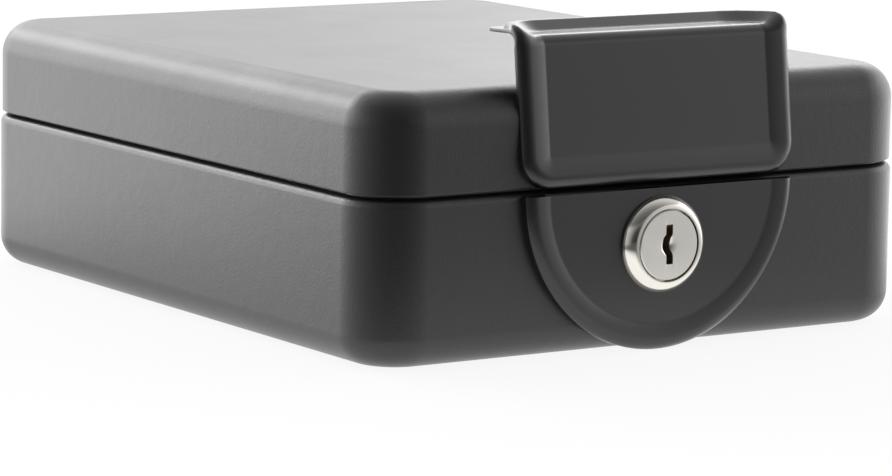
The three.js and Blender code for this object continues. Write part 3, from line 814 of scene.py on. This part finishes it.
@dataclass
class GripPlate:
    """The lid's stamped plate: a sunk panel in a beaded border, and its top bent back and up as a finger grip."""

    half_width: float = 38.75
    sheet: float = 0.8
    bottom: float = 39.9
    face: float = -97.7
    seat: float = -94.7
    seat_end: float = 14.7
    lean: float = math.radians(7.2)
    straight: float = 32.2
    bend: float = 3.0
    turn: float = math.radians(84.8)
    lip: float = 11.6
    corner: float = 7.6
    inner_corner: float = 13.0
    corner_steps: int = 12
    bend_steps: int = 14
    fine: float = 0.5
    curl_after: float = 1.0
    eased: float = 0.12
    boss_radius: float = 3.4
    boss_at: tuple[float, float] = (27.0, 50.8)

    def __post_init__(self) -> None:
        """Works out the plate's unrolled length and its border's section."""
        self.bend_end = self.straight + self.bend * self.turn
        self.length = self.bend_end + self.lip
        self.edge = BeadedEdge(7.3, 3.3)
        self.curl = CurledEdge()

    def place(self, u: float, v: float, h: float) -> Vector:
        """Carries a point of the unrolled plate to its place.

        Args:
            u: Distance across.
            v: Distance along the plate from its bottom.
            h: Height over its panel.

        Returns:
            The place.
        """
        straight = min(v, self.straight)
        angle = self.lean + min(max(v - self.straight, 0) / self.bend, self.turn)
        rest = max(v - self.bend_end, 0)
        y = self.face + math.sin(self.lean) * straight + self.bend * (math.cos(self.lean) - math.cos(angle))
        z = self.bottom + math.cos(self.lean) * straight + self.bend * (math.sin(angle) - math.sin(self.lean))
        sine, cosine = math.sin(angle), math.cos(angle)
        return Vector((u, y + sine * rest - cosine * h, z + cosine * rest + sine * h))

    def relief(self, u: float, v: float, inset: float) -> float:
        """Gives the outer skin's height over the panel.

        Args:
            u: Distance across.
            v: Distance along the plate from its bottom.
            inset: Distance in from the outline.

        Returns:
            The height.
        """
        reach = self.inner_corner
        across, along = reach - (self.half_width - abs(u)), reach - (self.length - v)
        if across > 0 and along > 0:
            inset = max(min(inset, reach - math.hypot(across, along)), 0)
        share = min(max((v - self.straight) / (self.bend_end + self.curl_after - self.straight), 0), 1)
        share *= share * (3 - 2 * share)
        return self.edge.height(inset) * (1 - share) + self.curl.height(inset) * share

    def squared(self, u: float, v: float) -> Vector:
        """Draws the round upper corners of the unrolled plate out to squarer ones.

        Args:
            u: Distance across.
            v: Distance along the plate from its bottom.

        Returns:
            The new place.
        """
        middle = Vector((math.copysign(self.half_width - self.corner, u), self.length - self.corner))
        arm = Vector((u, v)) - middle
        if arm.x * u <= 0 or arm.y <= 0:
            return Vector((u, v))
        square = (arm.length_squared ** 2 / (arm.x ** 4 + arm.y ** 4)) ** 0.25 - 1
        return middle + arm * (1 + square * min(arm.length / self.corner, 1) ** 2)

    def cuts(self) -> list[tuple[Vector, Vector]]:
        """Gives the planes that cut the plate finely round its bend, on its lip and across the lip's ends.

        Returns:
            A point and the normal of each plane.
        """
        bent = self.bend_end - self.straight
        bend = [self.straight + bent * i / self.bend_steps for i in range(self.bend_steps + 1)]
        lip = [self.bend_end + i * self.fine for i in range(1, int(self.lip / self.fine))]
        ends = [
            side * (self.half_width - i * self.fine)
            for side in (-1, 1) for i in range(1, int(self.inner_corner / self.fine) + 1)
        ]
        along = [self.seat_end, (self.seat_end + self.straight) / 2, *bend, *lip]
        cuts = [(Vector((0, v, 0)), Vector((0, 1, 0))) for v in along]
        return cuts + [(Vector((u, 0, 0)), Vector((1, 0, 0))) for u in ends]

    def rim(self, v: float) -> float:
        """Gives the height of the rim's back edge, which meets the lid low down and thins to the lip.

        Args:
            v: Distance along the plate.

        Returns:
            The height.
        """
        thin = self.relief(0, v, 0) - self.sheet
        seated = (self.place(0, min(v, self.seat_end), 0).y - self.seat) / math.cos(self.lean)
        share = min(max((v - self.seat_end) / (self.straight - self.seat_end), 0), 1)
        return min(seated + (thin - seated) * share, thin)

    def skin(self) -> Mesh:
        """Stamps the unrolled plate and bends it.

        Returns:
            The plate's outer skin.
        """
        shape = bmesh.new()
        bmesh.ops.create_grid(shape, x_segments=1, y_segments=1, size=1.0)
        size = Matrix.Diagonal((self.half_width, self.length / 2, 1, 1))
        bmesh.ops.transform(shape, matrix=Matrix.Translation((0, self.length / 2, 0)) @ size, verts=shape.verts)
        bmesh.ops.bevel(
            shape, geom=list(shape.verts), offset=self.corner, offset_type="OFFSET", segments=self.corner_steps,
            profile=0.5, affect="VERTICES", material=-1,
        )
        inset = shape.verts.layers.float.new("inset")
        shape.faces.ensure_lookup_table()
        panel = shape.faces[0]
        steps = self.edge.insets()
        for before, after in zip(steps, steps[1:]):
            bmesh.ops.inset_region(
                shape, faces=[panel], thickness=after - before, use_boundary=True, use_even_offset=True,
            )
            for vert in panel.verts:
                vert[inset] = after
        for vert in shape.verts:
            vert.co.xy = self.squared(vert.co.x, vert.co.y)
        for place, normal in self.cuts():
            slice_at(shape, place, normal)
        for vert in shape.verts:
            vert.co.z = self.relief(vert.co.x, vert.co.y, vert[inset])
        border = [e for e in shape.edges if e.is_boundary]
        made = bmesh.ops.extrude_edge_only(shape, edges=border)["geom"]
        for vert in (g for g in made if isinstance(g, bmesh.types.BMVert)):
            vert.co.z = self.rim(vert.co.y)
        bmesh.ops.recalc_face_normals(shape, faces=shape.faces)
        if max(shape.faces, key=lambda f: f.calc_area()).normal.z < 0:
            bmesh.ops.reverse_faces(shape, faces=shape.faces)
        for vert in shape.verts:
            vert.co = self.place(*vert.co)
        return shape

    def build(self) -> None:
        """Builds and dresses the plate."""
        plate = new_piece("grip_plate", self.skin())
        thicken(plate, self.sheet, even=False)
        ease_edges(plate, self.eased, angle=40)
        dress(plate, Body.LID, Finishes.enamel, ["handle_plate"])
        bosses = bmesh.new()
        behind = self.place(0, self.boss_at[1] - self.bottom, -self.sheet / 2).y
        for side in (-1, 1):
            rod_along_y(bosses, self.boss_radius, behind, self.seat, (side * self.boss_at[0], self.boss_at[1]))
        posts = new_piece("grip_plate_bosses", bosses)
        ease_edges(posts, 0.15)
        dress(posts, Body.LID, Finishes.enamel, [])


@dataclass
class HalfRoundPlate:
    """The tray's lock plate: a stamped half-round dish with a beaded border, cut off straight along its top."""

    radius: float = 38.0
    centre: float = 38.15
    top: float = 38.2
    face: float = -97.5
    seat: float = -95.05
    sheet: float = 1.0
    top_edge: float = 0.4
    steps: int = 160
    lock_height: float = 25.0
    hole: float = 9.5
    hole_steps: int = 96
    overrun: float = 2.0
    eased: float = 0.12

    def skin(self) -> Mesh:
        """Spins the dish, cuts it off and closes its top with a wall.

        Returns:
            The plate's outer skin.
        """
        edge = BeadedEdge(6.6, 3.0)
        section = [(self.radius - inset, self.face - edge.height(inset)) for inset in reversed(edge.insets())]
        shape = turned([(0, self.face), *section, (self.radius, self.seat)], (0, self.centre), self.steps)
        slice_at(shape, Vector((0, 0, self.top)), Vector((0, 0, 1)), WELD / 10, clear=True)
        chain = level_edges(shape, self.top)
        ends = [v for v in {v for e in chain for v in e.verts} if abs(v.co.y - self.seat) < WELD]
        close = shape.edges.new(ends)
        bmesh.ops.contextual_create(shape, geom=[*chain, close])
        bmesh.ops.recalc_face_normals(shape, faces=shape.faces)
        if max(shape.faces, key=lambda f: f.calc_area()).normal.y > 0:
            bmesh.ops.reverse_faces(shape, faces=shape.faces)
        bevel_edges(shape, [e for e in chain if e.is_valid], self.top_edge, 4)
        return shape

    def build(self) -> None:
        """Builds and dresses the plate."""
        plate = new_piece("half_round_plate", self.skin())
        thicken(plate, self.sheet, even=False)
        tool = bmesh.new()
        start, end = self.face - self.overrun, self.seat + self.overrun
        rod_along_y(tool, self.hole, start, end, (0, self.lock_height), self.hole_steps)
        cut_away(plate, tool)
        ease_edges(plate, self.eased, angle=40)
        dress(plate, Body.BASE, Finishes.enamel, ["lock_plate"])


# Cam lock


@dataclass
class CamLock:
    """The key lock: a bevelled nickel ring with its threaded barrel, and the plug with its keyway."""

    height: float = 25.0
    face: float = -100.55
    seat: float = -97.55
    barrel_end: float = -79.8
    head_radius: float = 11.5
    head_rim: float = 0.35
    ring_radius: float = 9.55
    crown: float = 0.28
    crown_steps: int = 12
    chamfer: float = 0.22
    counterbore: float = 8.45
    counterbore_depth: float = 1.75
    bore: float = 6.55
    barrel: float = 9.4
    flat: float = 8.3
    plug_radius: float = 8.2
    plug_step: float = 1.5
    plug_body: float = 6.3
    plug_end: float = -79.5
    plug_gap: float = 0.05
    post: float = 3.2
    post_end: float = -77.0
    guide: float = 2.5
    guide_depth: float = 0.9
    key_depth: float = 14.0
    key_edge: float = 0.22
    overrun: float = 1.0
    steps: int = 160

    def ring(self) -> None:
        """Builds the housing: its polished head and its threaded barrel."""
        floor = self.face + self.counterbore_depth
        foot = self.seat - self.head_rim
        start, end = Vector((self.ring_radius, self.face + self.chamfer / 2)), Vector((self.head_radius, foot))
        out = Vector((1, -1)).normalized() * self.crown
        bevel = []
        for i in range(1, self.crown_steps):
            share = i / self.crown_steps
            bevel.append(tuple(start.lerp(end, share) + out * 4 * share * (1 - share)))
        section = [
            (self.bore, self.barrel_end), (self.bore, floor), (self.counterbore, floor),
            (self.counterbore, self.face + self.chamfer), (self.counterbore + self.chamfer / 2, self.face),
            (self.ring_radius - self.chamfer, self.face), tuple(start), *bevel, tuple(end),
            (self.head_radius, self.seat), (self.barrel, self.seat), (self.barrel, self.barrel_end),
            (self.bore, self.barrel_end),
        ]
        shape = turned(section, (0, self.height), self.steps)
        for vert in shape.verts:
            across = math.hypot(vert.co.x, vert.co.z - self.height)
            if vert.co.y > self.seat - WELD and abs(across - self.barrel) < WELD:
                rise = vert.co.z - self.height
                vert.co.z = self.height + max(-self.flat, min(self.flat, rise))
        ring = new_piece("lock_ring", shape)
        ease_edges(ring, 0, angle=28)
        dress(ring, Body.BASE, Finishes.polished, ["lock_housing"])
        ring.data.materials.append(Finishes.thread.material())
        for face in ring.data.polygons:
            face.material_index = int(face.center.y > (self.seat + 0.2) * MM)

    def keyway(self) -> Mesh:
        """Makes the tool that cuts the keyway.

        Returns:
            The tool.
        """
        outline = [
            (0.95, 4.9), (-0.95, 4.9), (-0.95, 2.65), (-1.75, 1.76), (-1.75, -0.79), (-0.75, -2.42), (-0.75, -4.4),
            (1.15, -4.4), (1.15, -2.42), (0.55, -0.79), (0.55, 1.76), (0.95, 2.65),
        ]
        tool = bmesh.new()
        face = tool.faces.new([tool.verts.new((x, self.face - self.overrun, self.height + z)) for x, z in outline])
        made = bmesh.ops.extrude_face_region(tool, geom=[face], use_keep_orig=True)["geom"]
        verts = [g for g in made if isinstance(g, bmesh.types.BMVert)]
        bmesh.ops.translate(tool, vec=(0, self.key_depth + self.overrun, 0), verts=verts)
        sides = [e for e in tool.edges if abs(e.verts[0].co.y - e.verts[1].co.y) > 1]
        bmesh.ops.recalc_face_normals(tool, faces=tool.faces)
        bevel_edges(tool, sides, self.key_edge, 3)
        return tool

    def plug(self) -> None:
        """Builds the plug with its keyway and its square post."""
        face = self.face + self.plug_gap
        section = [
            (0, face + self.guide_depth), (self.guide, face), (self.plug_radius - self.chamfer, face),
            (self.plug_radius, face + self.chamfer), (self.plug_radius, face + self.plug_step),
            (self.plug_body, face + self.plug_step), (self.plug_body, self.plug_end), (0, self.plug_end),
        ]
        shape = turned(section, (0, self.height), self.steps)
        plug = new_piece("key_plug", shape)
        cut_away(plug, self.keyway())
        ease_edges(plug, 0.08, angle=30)
        dress(plug, Body.LOCK, Finishes.brushed, ["lock_plug"])
        post = bmesh.new()
        box_between(
            post, (-self.post, self.plug_end - self.overrun, self.height - self.post),
            (self.post, self.post_end, self.height + self.post),
        )
        square = new_piece("key_plug_post", post)
        ease_edges(square, 0.25)
        dress(square, Body.LOCK, Finishes.brushed, [])

    def build(self) -> None:
        """Builds the ring, the plug and what stays hidden behind them."""
        self.ring()
        self.plug()
        for number in range(1, 5):
            dressed_copy(f"brass_wafer_{number}", f"lock_wafer_{number}", Body.LOCK, Finishes.brass, 0.1)
        for name, node, body, edge in (
            ("fixing_washer", "lock_washer", Body.BASE, 0.12),
            ("fixing_nut", "lock_nut", Body.BASE, 0.35),
            ("hook_cam", "lock_cam", Body.LOCK, 0.2),
            ("post_washer", "cam_washer", Body.LOCK, 0.12),
        ):
            dressed_copy(name, node, body, Finishes.zinc, edge)


@dataclass
class RecessedScrew:
    """A zinc-plated screw with a domed head and a cross recess, its head to the back."""

    name: str
    node: str
    body: Body
    centre: tuple[float, float]
    head_front: float
    head_radius: float
    head_rise: float
    shank_radius: float
    tip: float
    side_share: float = 0.45
    crown_share: float = 0.25
    tip_share: float = 0.7
    tip_length: float = 0.4
    arm_share: float = 0.56
    slot_share: float = 0.12
    depth_share: float = 0.6
    taper: float = 0.55
    dome_steps: int = 8
    steps: int = 48

    def section(self) -> list[tuple[float, float]]:
        """Gives the screw's section from its tip to the middle of its head.

        Returns:
            The section, as radius and Y.
        """
        side = self.head_rise * self.side_share
        dome = []
        for i in range(self.dome_steps + 1):
            angle = math.pi / 2 * i / self.dome_steps
            across = self.head_radius * (self.crown_share + (1 - self.crown_share) * math.cos(angle))
            height = self.head_front + side + (self.head_rise - side) * math.sin(angle)
            dome.append((across if i < self.dome_steps else 0.0, height))
        return [
            (0, self.tip), (self.shank_radius * self.tip_share, self.tip),
            (self.shank_radius, self.tip + self.tip_length),
            (self.shank_radius, self.head_front), (self.head_radius, self.head_front), *dome,
        ]

    def arm(self, wide: float, high: float) -> Mesh:
        """Makes the tool that cuts one arm of the cross recess.

        Args:
            wide: Half its width.
            high: Half its height.

        Returns:
            The tool.
        """
        tool = bmesh.new()
        back = self.head_front + self.head_rise
        x, z = self.centre
        depth = self.head_rise * self.depth_share
        for vert in box_between(tool, (x - wide, back - depth, z - high), (x + wide, back + 1, z + high)):
            if vert.co.y < back:
                vert.co.x = x + (vert.co.x - x) * self.taper
                vert.co.z = z + (vert.co.z - z) * self.taper
        return tool

    def build(self) -> None:
        """Builds and dresses the screw; its two arms are cut one by one, because they cross."""
        screw = new_piece(self.name, turned(self.section(), self.centre, self.steps))
        long, thin = self.head_radius * self.arm_share, self.head_radius * self.slot_share
        cut_away(screw, self.arm(long, thin))
        cut_away(screw, self.arm(thin, long))
        ease_edges(screw, 0.05, angle=40)
        dress(screw, self.body, Finishes.zinc, [self.node])


@dataclass
class Screws:
    """The screws that hold both plates, and the cam's screw."""

    wall_inside: float = -93.75
    lid_inside: float = -93.4
    plate_at: tuple[float, float] = (25.0, 30.0)
    grip_at: tuple[float, float] = (27.0, 50.8)
    cam_at: tuple[float, float] = (0.0, 25.0)
    head: tuple[float, float, float] = (2.9, 1.9, 1.5)
    cam_head: tuple[float, float, float] = (3.6, 2.4, 1.9)

    def build(self) -> None:
        """Builds the screws."""
        for side, hand in ((-1, "left"), (1, "right")):
            for name, node, body, (x, z), inside in (
                ("plate_screw", "lock_plate_screw", Body.BASE, self.plate_at, self.wall_inside),
                ("grip_screw", "handle_screw", Body.LID, self.grip_at, self.lid_inside),
            ):
                node = f"{node}_{hand}"
                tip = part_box(node)[0].y / MM
                RecessedScrew(f"{name}_{hand}", node, body, (side * x, z), inside, *self.head, tip).build()
        low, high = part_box("cam_screw")
        front = high.y / MM - self.cam_head[1]
        RecessedScrew("hook_screw", "cam_screw", Body.LOCK, self.cam_at, front, *self.cam_head, low.y / MM).build()


@dataclass
class Catch:
    """The catch inside the lid: a zinc-plated bracket and the pin that the cam hooks."""

    plate_edge: float = 0.2
    peg_edge: float = 0.15

    def build(self) -> None:
        """Builds the bracket and the pin."""
        dressed_copy("catch_plate", "catch_bracket", Body.LID, Finishes.zinc, self.plate_edge)
        dressed_copy("catch_peg", "catch_pin", Body.LID, Finishes.zinc, self.peg_edge)


@dataclass
class Hinges:
    """The two butt hinges at the back: coated leaves and plain pins."""

    edge: float = 0.12

    def build(self) -> None:
        """Builds the leaves and the pins."""
        for hand in ("left", "right"):
            for name, node, body, slot, finish in (
                ("tray_leaf", "hinge_tray_leaf", Body.BASE, Slot.STEEL, Finishes.coat),
                ("lid_leaf", "hinge_lid_leaf", Body.LID, Slot.STEEL, Finishes.coat),
                ("pivot", "hinge_pin", Body.BASE, Slot.ZINC, Finishes.zinc),
            ):
                dressed_copy(f"{name}_{hand}", f"{node}_{hand}", body, finish, self.edge)


@dataclass
class FoamMat:
    """A cut mat of soft foam, its upper edge rounded over and its top a little uneven."""

    name: str
    node: str
    body: Body
    half: tuple[float, float]
    corner: float
    low: float
    high: float
    faces_up: bool
    edge: float = 1.5
    sag: float = 0.25
    grid: float = 8.0

    def hollow(self, x: float, y: float) -> float:
        """Gives how far the mat's face has sunk at a place, from 0 to the whole sag."""
        return self.sag * (0.5 + 0.5 * (math.sin(x * 0.11 + 0.7) * math.cos(y * 0.08 + 0.3)))

    def build(self) -> None:
        """Builds and dresses the mat."""
        shape = rounded_block(self.half, self.low, self.high, self.corner, 12)
        level = self.high if self.faces_up else self.low
        bevel_edges(shape, level_edges(shape, level), self.edge, 5)
        for axis in (0, 1):
            count = int(self.half[axis] / self.grid)
            for i in range(-count, count + 1):
                where, normal = Vector((0, 0, 0)), Vector((0, 0, 0))
                where[axis], normal[axis] = i * self.grid, 1
                slice_at(shape, where, normal)
        inward = -1 if self.faces_up else 1
        for vert in shape.verts:
            if abs(vert.co.z - level) < WELD:
                vert.co.z += inward * self.hollow(vert.co.x, vert.co.y)
        mat = new_piece(self.name, shape)
        mat.data.shade_smooth()
        mat.data.set_sharp_from_angle(angle=math.radians(50))
        dress(mat, self.body, Finishes.foam, [self.node])


# Studio


def outward(azimuth: float, elevation: float) -> Vector:
    """Gives the direction from the safe, in degrees round from the front to the right and over the floor."""
    turn, rise = math.radians(azimuth), math.radians(elevation)
    return Vector((math.sin(turn) * math.cos(rise), -math.cos(turn) * math.cos(rise), math.sin(rise)))


@dataclass
class Softbox:
    """A soft studio lamp, seen by the finishes and not by the camera; its sizes are in metres."""

    name: str
    azimuth: float
    elevation: float
    width: float
    height: float
    radiance: float
    distance: float = 2.2

    def build(self) -> None:
        """Hangs the lamp so that it faces the safe."""
        away = outward(self.azimuth, self.elevation)
        lamp = bpy.data.lights.new(self.name, "AREA")
        lamp.shape = "RECTANGLE"
        lamp.size = self.width
        lamp.size_y = self.height
        lamp.energy = self.radiance * math.pi * self.width * self.height
        box = bpy.data.objects.new(self.name, lamp)
        box.location = away * self.distance
        box.rotation_euler = away.to_track_quat("Z", "Y").to_euler()
        box.visible_camera = False
        bpy.context.scene.collection.objects.link(box)


@dataclass
class Studio:
    """A studio that glows behind the safe and is dark towards the camera, a pale floor, softboxes and the camera."""

    side: tuple[float, float, float] = (-0.485, -0.875, 0.0)
    ring: tuple[tuple[float, float], ...] = (
        (-1.0, 2.0), (-0.8, 2.7), (-0.47, 4.1), (-0.3, 3.5), (0.0, 2.5), (0.29, 1.35),
        (0.5, 0.82), (0.67, 0.6), (0.81, 0.38), (0.92, 0.1), (1.0, 0.05),
    )
    ring_peak: float = 4.2
    overhead: tuple[float, float] = (0.45, 0.63)
    overhead_level: float = 0.3
    # Painted pool of light: the floor's level close to the safe, as mirrored rays see it
    painted_pool_level: float = 1.65
    near: tuple[float, float] = (1.4, 2.3)
    half_depth: tuple[float, float] = (0.0775, 0.095)
    floor_radius: float = 9000
    floor_level: float = 0.85
    floor_shadow: float = 0.1
    azimuth: float = -33.570
    elevation: float = 8.728
    roll: float = 0.992
    aim: tuple[float, float, float] = (6.371, 2.577, 12.139)
    distance: float = 1056.6
    lens: float = 168.54
    softboxes: tuple[Softbox, ...] = (
        Softbox("back_softbox", 195, 28, 0.9, 0.6, 9.0),
        Softbox("back_right_softbox", 170, 30, 0.9, 0.6, 3.5),
        Softbox("back_left_softbox", 212, 6, 1.0, 0.9, 3.4),
        Softbox("right_softbox", 134, 27, 0.9, 0.7, 3.4),
    )

    def shade(self, tree: Tree, direction: Any) -> Any:
        """Adds the room's level round the horizon, which falls off towards the photographer's side.

        Args:
            tree: The tree that gets it.
            direction: The direction or place it depends on.

        Returns:
            The level's socket.
        """
        unit = add_node(tree, "VectorMath", {"operation": "NORMALIZE"}, {0: direction}).outputs["Vector"]
        towards = {"operation": "DOT_PRODUCT", 1: Vector(self.side).normalized()}
        facing = add_node(tree, "VectorMath", towards, {0: unit}).outputs["Value"]
        span = {"From Min": -1.0, "From Max": 1.0, "To Min": 0.0, "To Max": 1.0}
        place = add_node(tree, "MapRange", span, {"Value": facing}).outputs["Result"]
        ramp = add_node(tree, "ValToRGB", links={"Fac": place})
        stops = ramp.color_ramp.elements
        for number, (where, level) in enumerate(self.ring):
            stop = stops[number] if number < 2 else stops.new((where + 1) / 2)
            stop.position = (where + 1) / 2
            stop.color = (*[level / self.ring_peak] * 3, 1)
        peak = {"operation": "MULTIPLY", 1: self.ring_peak}
        return add_node(tree, "Math", peak, {0: ramp.outputs["Color"]}).outputs[0]

    def fade(self, tree: Tree, value: Any, start: float, end: float, low: float, high: float) -> Any:
        """Adds a soft change from one level to another between two values, and gives its socket."""
        span = {"interpolation_type": "SMOOTHSTEP", "From Min": start, "From Max": end, "To Min": low, "To Max": high}
        return add_node(tree, "MapRange", span, {"Value": value}).outputs["Result"]

    def world(self) -> None:
        """Makes the room's light, dimmer overhead, and white for the camera."""
        world = bpy.data.worlds.new("studio_room")
        bpy.context.scene.world = world
        world.use_nodes = True
        tree = world.node_tree
        tree.nodes.clear()
        place = add_node(tree, "TexCoord").outputs["Generated"]
        height = add_node(tree, "SeparateXYZ", links={0: place}).outputs["Z"]
        overhead = self.fade(tree, height, *self.overhead, 1.0, self.overhead_level)
        both = {0: self.shade(tree, place), 1: overhead}
        level = add_node(tree, "Math", {"operation": "MULTIPLY"}, both).outputs[0]
        room = add_node(tree, "Background", {"Color": (1, 1, 1, 1)}, {"Strength": level})
        white = add_node(tree, "Background", {"Color": (1, 1, 1, 1), "Strength": 1.0})
        seen = add_node(tree, "LightPath").outputs["Is Camera Ray"]
        mix = add_node(tree, "MixShader", links={0: seen, 1: room.outputs[0], 2: white.outputs[0]})
        add_node(tree, "OutputWorld", links={"Surface": mix.outputs[0]})

    def painted_floor_light(self, tree: Tree) -> Any:
        """Adds the painted light that the safe mirrors in the floor: a painted pool of light close by, and like the
        room farther out, with painted shade towards the photographer's side.

        Args:
            tree: The floor's tree.

        Returns:
            The level's socket.
        """
        place = add_node(tree, "TexCoord").outputs["Object"]
        size = {"operation": "MULTIPLY", 1: Vector((1 / self.half_depth[0], 1 / self.half_depth[1], 0))}
        scaled = add_node(tree, "VectorMath", size, {0: place}).outputs["Vector"]
        away = add_node(tree, "VectorMath", {"operation": "LENGTH"}, {0: scaled}).outputs["Value"]
        links = {"Factor": self.fade(tree, away, *self.near, 0.0, 1.0), "B": self.shade(tree, place)}
        return add_node(tree, "Mix", {"data_type": "FLOAT", "A": self.painted_pool_level}, links).outputs["Result"]

    def floor(self) -> None:
        """Lays the pale floor, which keeps a faint shadow; mirrored rays see painted light on it in place of the lit
        floor.
        """
        shape = bmesh.new()
        bmesh.ops.create_circle(shape, cap_ends=True, segments=96, radius=self.floor_radius)
        floor = new_piece("studio_floor", shape)
        material = bpy.data.materials.new("pale_studio_floor")
        material.use_nodes = True
        tree = material.node_tree
        tree.nodes.clear()
        matt = add_node(tree, "BsdfDiffuse", {"Color": (*[self.floor_level] * 3, 1)})
        white = add_node(tree, "Emission", {"Strength": 1.0})
        # Painted light: an emission that mirrored rays see on the floor, in place of the floor lit by the lamps
        painted_reflection = add_node(tree, "Emission", links={"Strength": self.painted_floor_light(tree)})
        path = add_node(tree, "LightPath").outputs
        rays = {0: path["Is Glossy Ray"], 1: path["Is Transmission Ray"]}
        mirrored = add_node(tree, "Math", {"operation": "MAXIMUM"}, rays).outputs[0]
        kept = {"operation": "MULTIPLY", 1: 1 - self.floor_shadow}
        shares = [add_node(tree, "Math", kept, {0: ray}).outputs[0] for ray in (path["Is Camera Ray"], mirrored)]
        seen = add_node(tree, "MixShader", links={0: shares[0], 1: matt.outputs[0], 2: white.outputs[0]})
        both = add_node(tree, "MixShader", links={0: shares[1], 1: seen.outputs[0], 2: painted_reflection.outputs[0]})
        add_node(tree, "OutputMaterial", links={"Surface": both.outputs[0]})
        floor.data.materials.append(material)

    def camera(self) -> None:
        """Sets up the camera at the photograph's angle."""
        data = bpy.data.cameras.new("view")
        data.sensor_fit = "HORIZONTAL"
        data.sensor_width = 36
        data.lens = self.lens
        camera = bpy.data.objects.new("view", data)
        attitude = (
            Matrix.Rotation(math.radians(self.azimuth), 4, "Z")
            @ Matrix.Rotation(math.pi / 2 - math.radians(self.elevation), 4, "X")
            @ Matrix.Rotation(math.radians(self.roll), 4, "Z")
        )
        place = (Vector(self.aim) + outward(self.azimuth, self.elevation) * self.distance) * MM
        camera.matrix_world = Matrix.Translation(place) @ attitude
        bpy.context.scene.collection.objects.link(camera)
        bpy.context.scene.camera = camera

    def build(self) -> None:
        """Builds the studio."""
        bpy.context.scene.view_settings.view_transform = "Standard"
        self.camera()
        self.world()
        self.floor()
        for softbox in self.softboxes:
            softbox.build()


def main() -> None:
    """Builds every piece and the studio."""
    logging.basicConfig(level=logging.INFO, format="%(name)s %(message)s")
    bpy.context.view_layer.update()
    Studio().build()
    Tray().build()
    Lid().build()
    GripPlate().build()
    HalfRoundPlate().build()
    CamLock().build()
    Screws().build()
    Catch().build()
    Hinges().build()
    FoamMat(
        "tray_mat", "base_foam_mat", Body.BASE, half=(68.7, 86.2), corner=6.9, low=1.25, high=5.25, faces_up=True,
    ).build()
    FoamMat(
        "lid_mat", "lid_foam_mat", Body.LID, half=(67.55, 85.05), corner=6.1, low=57.75, high=61.75, faces_up=False,
    ).build()


if __name__ == "__main__":
    main()
